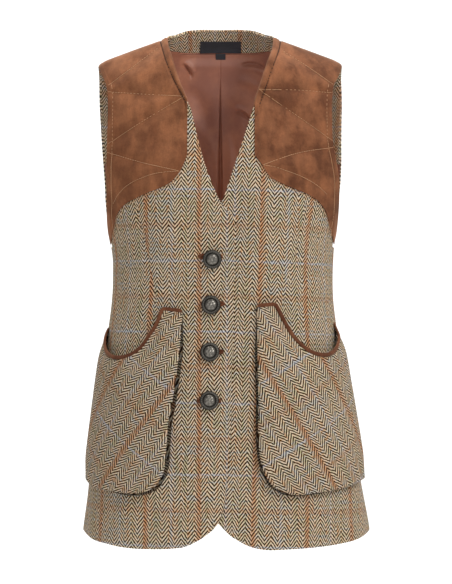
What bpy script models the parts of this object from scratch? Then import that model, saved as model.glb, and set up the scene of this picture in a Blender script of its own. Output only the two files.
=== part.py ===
"""A tweed gilet, filled out as worn. Metres, +Z up, the front faces -Y and the wearer's right is at -X.

The origin lies midway between the two neck ends of the shoulder seams. Every cloth piece is a wall
on one body surface, found from two values: the turn round the body from centre front, in radians,
and the run down from the shoulder line.
"""

import math

import bpy
import numpy as np
from mathutils import Matrix, Vector

TWEED = 0.0022
SUEDE = 0.0014
LINING = 0.0010
FACING = 0.0018
SEAM_GAP = 0.0003
LAID_GAP = 0.0008
INNER_GAP = 0.0018
NECK_GAP = 0.0024
LINING_GAP = 0.0012
LINING_EASE = 0.0015
BUTTONHOLE_THICK = 0.0012

SHOULDER_ROUND = 0.05
SHOULDER_SLOPE = 0.38
NECK_HALF = 0.079
NECK_STAND = 0.021
SLOPE_FADE = 0.26
SQUARENESS = 2.25
BUST_RISE = 0.010

UNDERARM = -0.305
SIDE_HEM = -0.709
NOTCH = -0.689
BACK_HEM = -0.710
HEM_REACH = -0.50
PATCH_STRAIGHT = {"right": 0.046, "left": 0.0475}
PATCH_PUFF = 0.002
NECK_FACING_LOW = -0.013
ARMHOLE_FACING = 0.017
BINDING_WIDTH = 0.006
BUTTON_RADIUS = 0.0133
BUTTONHOLE_LENGTH = 0.034
BUTTONHOLE_WIDTH = 0.009

SIDES = {"right": -1, "left": 1}


def table(names, *rows):
    """Rows of numbers as named columns."""
    return dict(zip(names.split(), np.array(rows, float).T))


# The body's level rings: half widths to each side, and depths to the front and to the back.
RINGS = table(
    "level right left front back",
    (-0.749, 0.202, 0.218, 0.137, 0.151),
    (-0.709, 0.198, 0.214, 0.136, 0.150),
    (-0.659, 0.191, 0.205, 0.134, 0.147),
    (-0.604, 0.186, 0.197, 0.131, 0.142),
    (-0.539, 0.178, 0.186, 0.126, 0.132),
    (-0.466, 0.168, 0.1735, 0.119, 0.116),
    (-0.414, 0.1605, 0.166, 0.113, 0.102),
    (-0.379, 0.1565, 0.162, 0.111, 0.095),
    (-0.345, 0.155, 0.1615, 0.112, 0.093),
    (-0.309, 0.1565, 0.1635, 0.117, 0.096),
    (-0.293, 0.160, 0.165, 0.1195, 0.0985),
    (-0.269, 0.169, 0.172, 0.1225, 0.102),
    (-0.239, 0.180, 0.181, 0.1235, 0.1055),
    (-0.199, 0.190, 0.190, 0.119, 0.1085),
    (-0.149, 0.197, 0.197, 0.107, 0.108),
    (-0.099, 0.200, 0.200, 0.0925, 0.103),
    (-0.050, 0.201, 0.201, 0.072, 0.088),
    (0.000, 0.201, 0.201, 0.044, 0.062),
)

# The front edges: down the V, then down the lap. The wearer's right front lies on top.
FRONT_EDGE = table(
    "z right left",
    (0.002, -0.0790, 0.0790),
    (-0.0115, -0.0778, 0.0779),
    (-0.0235, -0.0745, 0.0756),
    (-0.0444, -0.0684, 0.0680),
    (-0.0713, -0.0596, 0.0592),
    (-0.0926, -0.0505, 0.0520),
    (-0.1104, -0.0419, 0.0460),
    (-0.1264, -0.0378, 0.0409),
    (-0.152, -0.0317, 0.0327),
    (-0.1888, -0.0217, 0.0205),
    (-0.2189, -0.0103, 0.0103),
    (-0.2425, 0.0004, 0.0010),
    (-0.268, 0.0211, -0.0200),
    (-0.290, 0.0213, -0.0380),
    (-0.320, 0.0212, -0.0450),
    (-0.400, 0.0198, -0.0460),
    (-0.480, 0.0175, -0.0460),
    (-0.560, 0.0145, -0.0440),
    (-0.620, 0.0110, -0.0370),
    (-0.655, 0.0070, -0.0240),
    (-0.676, 0.0025, -0.0120),
    (-0.689, -0.0032, -0.0030),
)

# How far out the armhole edges lie, front and back.
ARMHOLE = table(
    "z front_right front_left back_right back_left",
    (-0.040, 0.1765, 0.1750, 0.1768, 0.1757),
    (-0.060, 0.1677, 0.1680, 0.1768, 0.1759),
    (-0.075, 0.1615, 0.1605, 0.1767, 0.1759),
    (-0.095, 0.1586, 0.1573, 0.1763, 0.1758),
    (-0.125, 0.1581, 0.1564, 0.1750, 0.1752),
    (-0.154, 0.1585, 0.1574, 0.1735, 0.1747),
    (-0.182, 0.1591, 0.1616, 0.1715, 0.1745),
    (-0.210, 0.1590, 0.1660, 0.1693, 0.1735),
    (-0.238, 0.1586, 0.1664, 0.1675, 0.1712),
    (-0.273, 0.1582, 0.1644, 0.1635, 0.1667),
    (-0.294, 0.1561, 0.1621, 0.1590, 0.1636),
    (-0.304, 0.1547, 0.1605, 0.1562, 0.1617),
)

HEM = {
    "right": table(
        "x z",
        (-0.1960, -0.7090),
        (-0.1845, -0.7160),
        (-0.1589, -0.7212),
        (-0.1300, -0.7248),
        (-0.0976, -0.7253),
        (-0.0696, -0.7239),
        (-0.0488, -0.7208),
        (-0.0308, -0.7123),
        (-0.0184, -0.7040),
        (-0.0087, -0.6957),
        (-0.0032, -0.6890),
    ),
    "left": table(
        "x z",
        (-0.0030, -0.6890),
        (0.0038, -0.6957),
        (0.0120, -0.7039),
        (0.0245, -0.7123),
        (0.0411, -0.7206),
        (0.0605, -0.7250),
        (0.0966, -0.7251),
        (0.1417, -0.7234),
        (0.1690, -0.7210),
        (0.1973, -0.7157),
        (0.2125, -0.7090),
    ),
}

BACK_NECK = table(
    "x z",
    (0.0, 0.0174),
    (0.030, 0.0169),
    (0.051, 0.0131),
    (0.071, 0.0034),
    (0.079, 0.0),
)

# The suede patches' lower edges, from the V side out to the tail under the arm.
PATCH_LOW = {
    "right": table(
        "x z",
        (0.0462, -0.1780),
        (0.0500, -0.1888),
        (0.0601, -0.2070),
        (0.0670, -0.2145),
        (0.0812, -0.2229),
        (0.0983, -0.2290),
        (0.1187, -0.2380),
        (0.1336, -0.2461),
        (0.1440, -0.2583),
        (0.1490, -0.2738),
        (0.1525, -0.2880),
    ),
    "left": table(
        "x z",
        (0.0480, -0.1780),
        (0.0535, -0.1857),
        (0.0605, -0.1958),
        (0.0676, -0.2074),
        (0.0843, -0.2173),
        (0.1046, -0.2255),
        (0.1235, -0.2328),
        (0.1368, -0.2416),
        (0.1472, -0.2541),
        (0.1522, -0.2681),
        (0.1573, -0.2850),
    ),
}

# The ends of each row of zigzag stitching on the patches, inner end first.
QUILTING = {
    "right": table(
        "x1 z1 x2 z2",
        (0.0900, -0.0232, 0.1570, -0.0753),
        (0.0510, -0.0945, 0.1570, -0.0853),
        (0.0510, -0.0955, 0.1557, -0.1593),
        (0.0587, -0.2000, 0.1570, -0.1720),
        (0.0587, -0.2010, 0.1120, -0.2089),
        (0.1120, -0.2089, 0.1484, -0.2371),
    ),
    "left": table(
        "x1 z1 x2 z2",
        (0.0900, -0.0280, 0.1573, -0.0734),
        (0.0550, -0.0850, 0.1570, -0.0825),
        (0.0550, -0.0860, 0.1560, -0.1550),
        (0.0593, -0.1930, 0.1560, -0.1620),
        (0.0600, -0.1940, 0.1050, -0.2000),
        (0.1050, -0.2000, 0.1468, -0.2277),
    ),
}

POCKET_MOUTH = {
    "right": table(
        "x z",
        (0.1720, -0.4180),
        (0.1690, -0.4400),
        (0.1643, -0.4510),
        (0.1548, -0.4580),
        (0.1424, -0.4600),
        (0.1275, -0.4560),
        (0.1130, -0.4450),
        (0.1029, -0.4300),
        (0.0914, -0.4120),
        (0.0850, -0.3950),
        (0.0800, -0.3920),
        (0.0543, -0.3940),
    ),
    "left": table(
        "x z",
        (0.1740, -0.4100),
        (0.1720, -0.4300),
        (0.1681, -0.4410),
        (0.1610, -0.4510),
        (0.1499, -0.4560),
        (0.1368, -0.4550),
        (0.1250, -0.4500),
        (0.1134, -0.4400),
        (0.1020, -0.4260),
        (0.0905, -0.4060),
        (0.0810, -0.3880),
        (0.0760, -0.3855),
        (0.0528, -0.3870),
    ),
}

POCKET_INNER = table(
    "z right left",
    (-0.392, 0.0543, 0.0525),
    (-0.450, 0.0573, 0.0520),
    (-0.485, 0.0614, 0.0523),
    (-0.520, 0.0668, 0.0533),
    (-0.548, 0.0723, 0.0527),
    (-0.584, 0.0751, 0.0537),
    (-0.606, 0.0766, 0.0573),
    (-0.620, 0.0795, 0.0620),
)

POCKET_LOW = {
    "right": table(
        "x z",
        (0.1965, -0.6350),
        (0.1844, -0.6420),
        (0.1636, -0.6450),
        (0.1455, -0.6470),
        (0.1297, -0.6480),
        (0.1093, -0.6460),
        (0.0907, -0.6370),
        (0.0795, -0.6200),
    ),
    "left": table(
        "x z",
        (0.2070, -0.6330),
        (0.1864, -0.6400),
        (0.1709, -0.6430),
        (0.1485, -0.6460),
        (0.1269, -0.6480),
        (0.1041, -0.6490),
        (0.0871, -0.6450),
        (0.0728, -0.6360),
        (0.0620, -0.6200),
    ),
}

BUTTONS = table(
    "x z",
    (-0.0112, -0.3215),
    (-0.0130, -0.3860),
    (-0.0143, -0.4520),
    (-0.0150, -0.5190),
)


def ease(share):
    share = np.clip(share, 0, 1)
    return share * share * (3 - 2 * share)


def read(rows, column, at, key="z"):
    """A smooth curve through one column of a table."""
    order = np.argsort(rows[key])
    keys, values = rows[key][order], rows[column][order]
    slopes = np.gradient(values, keys)
    at = np.clip(np.asarray(at, float), keys[0], keys[-1])
    i = np.clip(np.searchsorted(keys, at) - 1, 0, len(keys) - 2)
    span = keys[i + 1] - keys[i]
    t = (at - keys[i]) / span
    return (
        values[i] * (1 + 2 * t) * (1 - t) ** 2
        + slopes[i] * span * t * (1 - t) ** 2
        + values[i + 1] * t**2 * (3 - 2 * t)
        + slopes[i + 1] * span * t**2 * (t - 1)
    )


def ridge(x):
    """The height of the shoulder line across the body, with the back neck's rise in the middle."""
    far = np.abs(x)
    slope = SHOULDER_SLOPE * (np.hypot(far, 0.040) - math.hypot(NECK_HALF, 0.040))
    rise = NECK_STAND * np.exp(-((far / 0.066) ** 6))
    return rise - slope - 15 * np.maximum(0, far - 0.160) ** 2


def height(x, level):
    return level + ridge(x) * ease(1 + level / SLOPE_FADE)


def level_at(run):
    """The first stretch of the run goes round the shoulder's top, the rest straight down."""
    turned = np.clip(run / SHOULDER_ROUND, 0, math.pi / 2)
    return -SHOULDER_ROUND * (1 - np.cos(turned)) - np.maximum(0, run - SHOULDER_ROUND * math.pi / 2)


def run_at(level):
    level = np.asarray(level, float)
    turned = np.arccos(np.clip(1 + level / SHOULDER_ROUND, 0, 1))
    return SHOULDER_ROUND * turned + np.maximum(0, -level - SHOULDER_ROUND)


def half_width(level, sign):
    return np.where(sign < 0, read(RINGS, "right", level, "level"), read(RINGS, "left", level, "level"))


def surface(turn, run):
    """A point of the body surface."""
    turn, run = np.broadcast_arrays(np.asarray(turn, float), np.asarray(run, float))
    level = level_at(run)
    across, ahead = np.sin(turn), np.cos(turn)
    power = 2 / SQUARENESS
    x = half_width(level, across) * np.sign(across) * np.abs(across) ** power
    closing = np.sin(np.clip(run / SHOULDER_ROUND, -math.pi / 2, math.pi / 2))
    bust = BUST_RISE * np.exp(-(((np.abs(x) - 0.088) / 0.064) ** 2) - ((level + 0.234) / 0.078) ** 2)
    front = read(RINGS, "front", level, "level") * closing + bust
    back = read(RINGS, "back", level, "level") * closing
    y = -np.where(ahead > 0, front, back) * np.sign(ahead) * np.abs(ahead) ** power
    return np.stack([x, y, height(x, level)], axis=-1)


def normal(turn, run):
    step = 1e-3
    round_way = surface(turn + step, run) - surface(turn - step, run)
    down_way = surface(turn, run + step) - surface(turn, run - step)
    out = np.cross(down_way, round_way)
    return out / np.linalg.norm(out, axis=-1, keepdims=True)


def point(turn, run, out=0.0):
    return surface(turn, run) + normal(turn, run) * np.asarray(out, float)[..., None]


def turn_at(x, level):
    """The turn at which a level ring reaches x, on the front."""
    share = np.clip(np.abs(x) / half_width(level, x), 0, 1)
    return np.sign(x) * np.arcsin(share ** (SQUARENESS / 2))


def find(x, z, out=0.0, behind=False):
    """The (turn, run) of points given by x and z, for a layer that far out, in front or behind."""
    x, z = np.asarray(x, float), np.asarray(z, float)
    level = z.copy()
    for _ in range(40):
        level = z - ridge(x) * ease(1 + level / SLOPE_FADE)
    aim_x, aim_level = x.copy(), level.copy()
    for _ in range(25):
        turn = turn_at(aim_x, aim_level)
        if behind:
            turn = math.pi - turn
        miss = point(turn, run_at(aim_level), out) - np.stack([x, x, z], axis=-1)
        aim_x = aim_x - 0.7 * miss[..., 0]
        aim_level = np.minimum(aim_level - 0.7 * miss[..., 2], -1e-4)
    most = math.radians(85)
    turn = np.clip(turn_at(aim_x, aim_level), -most, most)
    return np.stack([math.pi - turn if behind else turn, run_at(aim_level)], axis=-1)


def edge_at(rows, column, level, sign=1):
    """The (turn, run) where an edge given by z and x crosses a level."""
    z = np.array(level, float)
    for _ in range(12):
        x = sign * read(rows, column, z)
        z = height(x, level)
    return np.stack([turn_at(x, level), run_at(level)], axis=-1)


def paced(path, count):
    """A path of (turn, run) or (x, z), with points a constant step apart."""
    steps = np.linalg.norm(np.diff(path, axis=0), axis=1)
    along = np.concatenate([[0], np.cumsum(steps)]) / steps.sum()
    at = np.linspace(0, 1, count)
    return np.stack([np.interp(at, along, path[:, i]) for i in range(2)], axis=-1)


def reach(turn, run):
    """Metres round the body for each radian of turn."""
    step = 0.01
    ends = surface(turn + step, run) - surface(turn - step, run)
    return np.linalg.norm(ends, axis=-1) / (2 * step)


def moved(path, distance):
    """A path of (turn, run), moved sideways along the surface."""
    turn, run = path[:, 0], path[:, 1]
    scale = reach(turn, run)
    ahead = np.stack([np.gradient(turn) * scale, np.gradient(run)], axis=-1)
    ahead /= np.linalg.norm(ahead, axis=-1, keepdims=True)
    return np.stack([turn - ahead[:, 1] * distance / scale, run + ahead[:, 0] * distance], axis=-1)


def fill(outer, inner, low, top, low_reach=1.0):
    """A grid of (turn, run) between two side edges, bent to a low edge and a top edge."""
    across = np.linspace(0, 1, len(low))[None, :, None]
    up = np.linspace(0, 1, len(outer))[:, None, None]
    straight = outer[:, None] * (1 - across) + inner[:, None] * across
    low_bend = low[None] - (low[0] * (1 - across) + low[-1] * across)
    top_bend = top[None] - (top[0] * (1 - across) + top[-1] * across)
    return straight + ease(1 - up / low_reach) * low_bend + up * top_bend


def clear_scene():
    for thing in list(bpy.data.objects):
        bpy.data.objects.remove(thing)


def new_material(name, colour, roughness, metallic=0.0):
    material = bpy.data.materials.new(name)
    material.use_nodes = True
    shader = material.node_tree.nodes["Principled BSDF"]
    shader.inputs["Base Color"].default_value = (*colour, 1)
    shader.inputs["Roughness"].default_value = roughness
    shader.inputs["Metallic"].default_value = metallic
    return material


def add_object(name, mesh, material):
    mesh.materials.append(material)
    piece = bpy.data.objects.new(name, mesh)
    bpy.data.collections["tweed_gilet"].objects.link(piece)
    return piece


def wall(name, material, outer, inner):
    """A closed wall lofted between two grids of points."""
    rows, columns = outer.shape[:2]
    points = np.concatenate([outer.reshape(-1, 3), inner.reshape(-1, 3)])
    index = np.arange(rows * columns).reshape(rows, columns)
    under = index + rows * columns
    faces = []
    for r in range(rows - 1):
        for c in range(columns - 1):
            quad = (index[r, c], index[r, c + 1], index[r + 1, c + 1], index[r + 1, c])
            faces.append(quad)
            faces.append(tuple(i + rows * columns for i in reversed(quad)))
    rim = [*index[0, :], *index[1:, -1], *index[-1, -2::-1], *index[-2:0:-1, 0]]
    beneath = [*under[0, :], *under[1:, -1], *under[-1, -2::-1], *under[-2:0:-1, 0]]
    for i in range(len(rim)):
        j = (i + 1) % len(rim)
        faces.append((rim[j], rim[i], beneath[i], beneath[j]))
    mesh = bpy.data.meshes.new(name)
    mesh.from_pydata(points.tolist(), [], [tuple(int(i) for i in face) for face in faces])
    corner = outer[0, 0]
    facing = np.cross(outer[0, 1] - corner, outer[1, 0] - corner)
    if np.dot(facing, corner - inner[0, 0]) < 0:
        mesh.flip_normals()
    mesh.shade_smooth()
    mesh.set_sharp_from_angle(angle=math.radians(50))
    return add_object(name, mesh, material)


def layer(name, material, grid, out, thick):
    """A wall on the body surface, with its outer face that far out."""
    turn, run = grid[..., 0], grid[..., 1]
    out = np.broadcast_to(out, turn.shape)
    return wall(name, material, point(turn, run, out), point(turn, run, out - thick))


def panel_levels(hem):
    """The levels of a panel's rows: hem to waist, underarm, V and the shoulder's rounded top."""
    low = np.linspace(SIDE_HEM, -0.340, 12)
    middle = np.array([UNDERARM, -0.3035, -0.298, -0.287, -0.268])
    chest = np.linspace(-0.2425, -SHOULDER_ROUND, 8)
    top = level_at(SHOULDER_ROUND * np.radians([72, 55, 39, 24, 10]))
    levels = np.concatenate([low, middle, chest, top, level_at(np.array([SEAM_GAP / 2]))])
    return levels + (hem - levels[0]) * ease((HEM_REACH - levels) / (HEM_REACH - levels[0]))


def side_turn(sign):
    """The side seam's turn, half a seam gap in front of the widest line."""
    return sign * (math.pi / 2 - (SEAM_GAP / 2 / 0.1) ** (SQUARENESS / 2))


def front_grid(side, columns):
    sign = SIDES[side]
    levels = panel_levels(SIDE_HEM)
    outer = edge_at(ARMHOLE, "front_" + side, levels, sign)
    outer[levels <= UNDERARM, 0] = side_turn(sign)
    inner = edge_at(FRONT_EDGE, side, panel_levels(NOTCH))
    share = 1 - np.linspace(1, 0, columns) ** 1.3
    turns = outer[0, 0] + (inner[0, 0] - outer[0, 0]) * share
    z = np.full(columns, -0.72)
    for _ in range(6):
        z = read(HEM[side], "z", surface(turns, run_at(z))[:, 0], "x")
    low = np.stack([turns, run_at(z)], axis=-1)
    low[0], low[-1] = outer[0], inner[0]
    top = np.linspace(outer[-1], inner[-1], columns)
    return fill(outer, inner, low, top, low_reach=0.3)


def lap_drop(grid):
    """How far the under front dips beneath the upper one."""
    x = surface(grid[..., 0], grid[..., 1])[..., 0]
    level = level_at(grid[..., 1])
    return (TWEED + LAID_GAP) * ease((0.050 - x) / 0.026) * ease((-0.205 - level) / 0.03)


def make_fronts(tweed):
    layer("front_right", tweed, front_grid("right", 12), 0.0, TWEED)
    grid = front_grid("left", 13)
    layer("front_left", tweed, grid, -lap_drop(grid), TWEED)


def back_top(columns, first, last):
    """The back's top edge: shoulder seam, neckline, shoulder seam."""
    turns = np.linspace(first, last, columns)
    x = surface(turns, SEAM_GAP / 2)[:, 0]
    far = np.abs(x)
    level = np.where(far < NECK_HALF, read(BACK_NECK, "z", far, "x") - ridge(x), -1e-6)
    run = np.maximum(run_at(np.minimum(level, -1e-6)), SEAM_GAP / 2)
    turns = math.pi - turn_at(x, level_at(run))
    return np.stack([turns, run], axis=-1)


def back_edge(levels, side):
    """The back's side edge: side seam, then armhole, as (turn, run) behind the body."""
    sign = SIDES[side]
    edge = edge_at(ARMHOLE, "back_" + side, levels, sign)
    edge[levels <= UNDERARM, 0] = side_turn(sign)
    edge[:, 0] = math.pi - edge[:, 0]
    return edge


def make_back(tweed):
    levels = panel_levels(BACK_HEM)
    left, right = back_edge(levels, "left"), back_edge(levels, "right")
    columns = 21
    low = np.linspace(left[0], right[0], columns)
    top = back_top(columns, left[-1, 0], right[-1, 0])
    top[0], top[-1] = left[-1], right[-1]
    layer("back", tweed, fill(left, right, low, top), 0.0, TWEED)


def patch_grid(side, rows, columns):
    sign = SIDES[side]
    tail = np.array([read(ARMHOLE, "front_" + side, -0.300), -0.300])
    outer_z = np.linspace(tail[1], -0.047, rows)
    outer = find(sign * read(ARMHOLE, "front_" + side, outer_z), outer_z)
    low = np.stack([PATCH_LOW[side]["x"], PATCH_LOW[side]["z"]], axis=-1)[::-1]
    low = paced(np.concatenate([tail[None], low]), columns)
    inner_z = np.linspace(low[-1, 1], -0.0045, rows)
    straight = PATCH_STRAIGHT[side]
    inner_x = np.maximum(np.abs(read(FRONT_EDGE, side, inner_z)), straight)
    inner = find(sign * inner_x, inner_z)
    low = find(sign * low[:, 0], low[:, 1])
    outer[0], inner[0] = low[0], low[-1]
    top = np.linspace(outer[-1], inner[-1], columns)
    top[:, 1] = np.minimum(top[:, 1], 0.012)
    return fill(outer, inner, low, top)


def quilt_puff(side, spots):
    """How proud the padded suede stands between its rows of stitching."""
    nearest = np.full(spots.shape[:-1], np.inf)
    flat = np.stack([np.abs(spots[..., 0]), spots[..., 2]], axis=-1)
    for x1, z1, x2, z2 in zip(*QUILTING[side].values()):
        start, way = np.array([x1, z1]), np.array([x2 - x1, z2 - z1])
        share = np.clip(((flat - start) @ way) / (way @ way), 0, 1)
        away = np.linalg.norm(flat - start - share[..., None] * way, axis=-1)
        nearest = np.minimum(nearest, away)
    return PATCH_PUFF * (1 - np.exp(-((nearest / 0.009) ** 2)))


def make_patches(suede):
    for side in SIDES:
        grid = patch_grid(side, 15, 11)
        turn, run = grid[..., 0], grid[..., 1]
        inner = LAID_GAP
        puff = quilt_puff(side, surface(turn, run))
        puff[[0, -1], :] = 0
        puff[:, [0, -1]] = 0
        wall(
            "shoulder_patch_" + side,
            suede,
            point(turn, run, inner + SUEDE + puff),
            point(turn, run, np.full(turn.shape, inner)),
        )


def make_neck_facing(tweed):
    columns = 15
    top_x, low_x = np.linspace(-0.0782, 0.0782, columns), np.linspace(-0.072, 0.072, columns)
    top_z = read(BACK_NECK, "z", np.abs(top_x), "x")
    rows = []
    for down in np.linspace(0.04, 1, 4):
        x = top_x + (low_x - top_x) * down
        z = top_z + (NECK_FACING_LOW - top_z) * down
        rows.append(find(x, z, behind=True))
    layer("neck_facing", tweed, np.stack(rows), -TWEED - NECK_GAP, FACING)
    return rows[-1]


def make_armhole_facings(tweed):
    levels = np.concatenate([np.linspace(-0.170, -0.05, 6), level_at(SHOULDER_ROUND * np.radians([60, 30]))])
    for side, sign in SIDES.items():
        edge = back_edge(levels, side)
        inside = edge.copy()
        inside[:, 0] += sign * ARMHOLE_FACING / reach(edge[:, 0], edge[:, 1])
        grid = np.stack([edge * (1 - t) + inside * t for t in (0.04, 0.5, 1.0)], axis=1)
        layer("armhole_facing_" + side, tweed, grid, -TWEED - INNER_GAP, FACING)


def make_lining(lining, facing):
    """The lining inside the back, from the facings down past the underarm."""
    below, beside = [-0.330, UNDERARM, -0.287, -0.268], [-0.2425, -0.215, -0.190, -0.174]
    above, cap = np.linspace(-0.160, -SHOULDER_ROUND, 5), level_at(SHOULDER_ROUND * np.radians([72, 55, 43]))
    levels = np.concatenate([below, beside, above, cap])
    edges = []
    for side, sign in (("left", 1), ("right", -1)):
        edge = back_edge(levels, side)
        in_by = LINING_GAP + np.where(levels < -0.18, 0, ARMHOLE_FACING)
        edge[:, 0] += sign * in_by / reach(edge[:, 0], edge[:, 1])
        edges.append(edge)
    columns = 21
    low = np.linspace(edges[0][0], edges[1][0], columns)
    top = np.linspace(edges[0][-1], edges[1][-1], columns)
    seam = facing[np.argsort(facing[:, 0])]
    under = np.interp(top[:, 0], seam[:, 0], seam[:, 1] + 2 * LINING_GAP, left=0, right=0)
    top[:, 1] = np.maximum(top[:, 1], under)
    grid = fill(edges[0], edges[1], low, top)
    loose = INNER_GAP + LINING_EASE * ease((level_at(grid[..., 1]) + 0.10) / 0.05)
    layer("lining_back", lining, grid, -TWEED - loose, LINING)


def pocket_grid(side, rows, columns):
    sign = SIDES[side]
    stand = 0.013
    mouth = np.stack([POCKET_MOUTH[side]["x"], POCKET_MOUTH[side]["z"]], axis=-1)
    mouth = find(sign * mouth[:, 0], mouth[:, 1], stand)
    mouth = paced(mouth, columns)
    low = np.stack([POCKET_LOW[side]["x"], POCKET_LOW[side]["z"]], axis=-1)
    low = paced(find(sign * low[:, 0], low[:, 1], stand), columns)
    top = moved(mouth, -sign * (BINDING_WIDTH / 2 + SEAM_GAP))
    inner_z = np.linspace(POCKET_LOW[side]["z"][-1], POCKET_MOUTH[side]["z"][-1], rows)
    inner = find(sign * read(POCKET_INNER, side, inner_z), inner_z, stand)
    inner[0], inner[-1] = low[-1], top[-1]
    up = np.linspace(0, 1, rows)[:, None]
    outer = low[0] + (top[0] - low[0]) * np.concatenate([ease(up / 0.2), up], axis=1)
    return fill(outer, inner, low, top), mouth


def pocket_stand(rows, columns):
    """How far each point of a bellows pocket's face stands off the front."""
    across = np.linspace(0, 1, columns)[None, :]
    down = np.linspace(1, 0, rows)[:, None]
    strapped = np.exp(-((down / 0.16) ** 2)) * ease((across - 0.45) / 0.4)
    sewn = np.exp(-((down / 0.12) ** 2)) * (1 - across) ** 4
    return 0.0155 - 0.008 * strapped - 0.0055 * (1 - across) ** 3 - 0.0045 * sewn


def make_pockets(tweed, suede):
    rows, columns = 11, 13
    for side, sign in SIDES.items():
        grid, mouth = pocket_grid(side, rows, columns)
        stand = pocket_stand(rows, columns)
        layer("pocket_" + side, tweed, grid, stand, TWEED)
        path = np.concatenate([grid[::-1, 0], grid[0, 1:-1], grid[:, -1]])
        path[0] += 0.25 * (path[1] - path[0])
        path[-1] += 0.25 * (path[-2] - path[-1])
        height_out = np.concatenate([stand[::-1, 0], stand[0, 1:-1], stand[:, -1]])
        outside, inside = moved(path, sign * 0.0008), moved(path, sign * 0.0030)
        shares = np.linspace(0, 1, 3)
        out = np.stack([LAID_GAP + (height_out - TWEED - SEAM_GAP - LAID_GAP) * s for s in shares])
        wall(
            "pocket_gusset_" + side,
            tweed,
            np.stack([point(outside[:, 0], outside[:, 1], row) for row in out]),
            np.stack([point(inside[:, 0], inside[:, 1], row) for row in out]),
        )
        edges = np.stack([moved(mouth, -sign * BINDING_WIDTH / 2), moved(mouth, sign * BINDING_WIDTH / 2)])
        layer("pocket_binding_" + side, suede, edges, stand[-1][None, :] + 0.0007, TWEED + 0.0014)


def make_buttonholes(suede):
    """Bound buttonholes, as pointed-oval strips on the upper front."""
    spread = np.linspace(-1, 1, 7)
    for i, (x, z) in enumerate(zip(BUTTONS["x"], BUTTONS["z"])):
        half = BUTTONHOLE_WIDTH / 2 * (1 - 0.55 * np.abs(spread) ** 4)
        grid = np.stack([find(x + spread * BUTTONHOLE_LENGTH / 2, z + way * half) for way in (-1, 0, 1)])
        layer(f"buttonhole_{i + 1}", suede, grid, LAID_GAP + BUTTONHOLE_THICK, BUTTONHOLE_THICK)


def button_profile():
    """Down the outer side: domed middle, moulded ring, rolled rim, flat back and shank."""
    r = BUTTON_RADIUS
    return [
        (0.0, 0.0092),
        (0.36 * r, 0.0086),
        (0.58 * r, 0.0068),
        (0.66 * r, 0.0058),
        (0.86 * r, 0.0062),
        (r, 0.0048),
        (0.96 * r, 0.0030),
        (0.26 * r, 0.0026),
        (0.24 * r, 0.0),
        (0.0, 0.0),
    ]


def make_buttons(pewter):
    for i, (x, z) in enumerate(zip(BUTTONS["x"], BUTTONS["z"])):
        mesh = bpy.data.meshes.new(f"button_{i + 1}")
        profile = [(radius, 0, up) for radius, up in button_profile()]
        mesh.from_pydata(profile, [(j, j + 1) for j in range(len(profile) - 1)], [])
        button = add_object(f"button_{i + 1}", mesh, pewter)
        turned = button.modifiers.new("turned", "SCREW")
        turned.steps = 18
        turned.render_steps = 18
        turned.use_merge_vertices = True
        turned.merge_threshold = 0.0001
        spot = find(x, z)
        out = Vector(normal(spot[0], spot[1]))
        seat = Vector(point(spot[0], spot[1], LAID_GAP + BUTTONHOLE_THICK + SEAM_GAP))
        button.matrix_world = Matrix.Translation(seat) @ out.to_track_quat("Z", "Y").to_matrix().to_4x4()


def make_label(name, material, half_wide, top, low, thick):
    """A bare woven label laid on the inside of the back neck."""
    x = np.linspace(-half_wide, half_wide, 9)
    grid = np.stack([find(x, np.full(9, z), behind=True) for z in np.linspace(top, low, 3)])
    layer(name, material, grid, -TWEED - NECK_GAP - FACING - LAID_GAP, thick)


def make_labels(label):
    make_label("neck_label", label, 0.0315, 0.0050, -0.0130, 0.0008)
    make_label("size_tab", label, 0.0075, -0.0140, -0.0230, 0.0006)


def main():
    clear_scene()
    collection = bpy.data.collections.new("tweed_gilet")
    bpy.context.scene.collection.children.link(collection)
    tweed = new_material("herringbone_tweed", (0.30, 0.25, 0.18), 0.95)
    suede = new_material("brown_suede", (0.26, 0.12, 0.06), 0.9)
    lining = new_material("brown_lining", (0.18, 0.08, 0.045), 0.6)
    pewter = new_material("antique_pewter", (0.10, 0.10, 0.09), 0.35, 1.0)
    label = new_material("dark_label", (0.02, 0.022, 0.03), 0.8)
    make_fronts(tweed)
    make_back(tweed)
    make_patches(suede)
    facing = make_neck_facing(tweed)
    make_armhole_facings(tweed)
    make_lining(lining, facing)
    make_pockets(tweed, suede)
    make_buttonholes(suede)
    make_buttons(pewter)
    make_labels(label)


main()
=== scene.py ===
"""The looks of a tweed gilet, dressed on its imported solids.

Metres, +Z up, the front faces -Y and the wearer's right is at -X. Each cloth piece is a thin shell
on the body surface that its solid has, found from two values: the turn round the body from centre
front, in radians, and the run down from the shoulder line.
"""

import math

import bpy
import numpy as np
from mathutils import Matrix, Vector


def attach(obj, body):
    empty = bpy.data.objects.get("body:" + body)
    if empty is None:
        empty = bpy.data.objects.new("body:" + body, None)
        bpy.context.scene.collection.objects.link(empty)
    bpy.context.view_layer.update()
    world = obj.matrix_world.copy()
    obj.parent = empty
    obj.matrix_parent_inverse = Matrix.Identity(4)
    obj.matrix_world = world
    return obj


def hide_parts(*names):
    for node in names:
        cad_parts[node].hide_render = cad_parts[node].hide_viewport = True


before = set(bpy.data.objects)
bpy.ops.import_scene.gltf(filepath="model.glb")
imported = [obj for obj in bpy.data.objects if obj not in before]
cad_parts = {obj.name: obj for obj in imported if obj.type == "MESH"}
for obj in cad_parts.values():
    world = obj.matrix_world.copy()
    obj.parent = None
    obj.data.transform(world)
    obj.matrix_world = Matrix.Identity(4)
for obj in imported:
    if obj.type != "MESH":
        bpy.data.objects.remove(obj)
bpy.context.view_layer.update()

TWEED = 0.0022
SUEDE = 0.0014
LINING = 0.0010
FACING = 0.0018
SEAM_GAP = 0.0003
LAID_GAP = 0.0008
INNER_GAP = 0.0018
NECK_GAP = 0.0024
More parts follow.
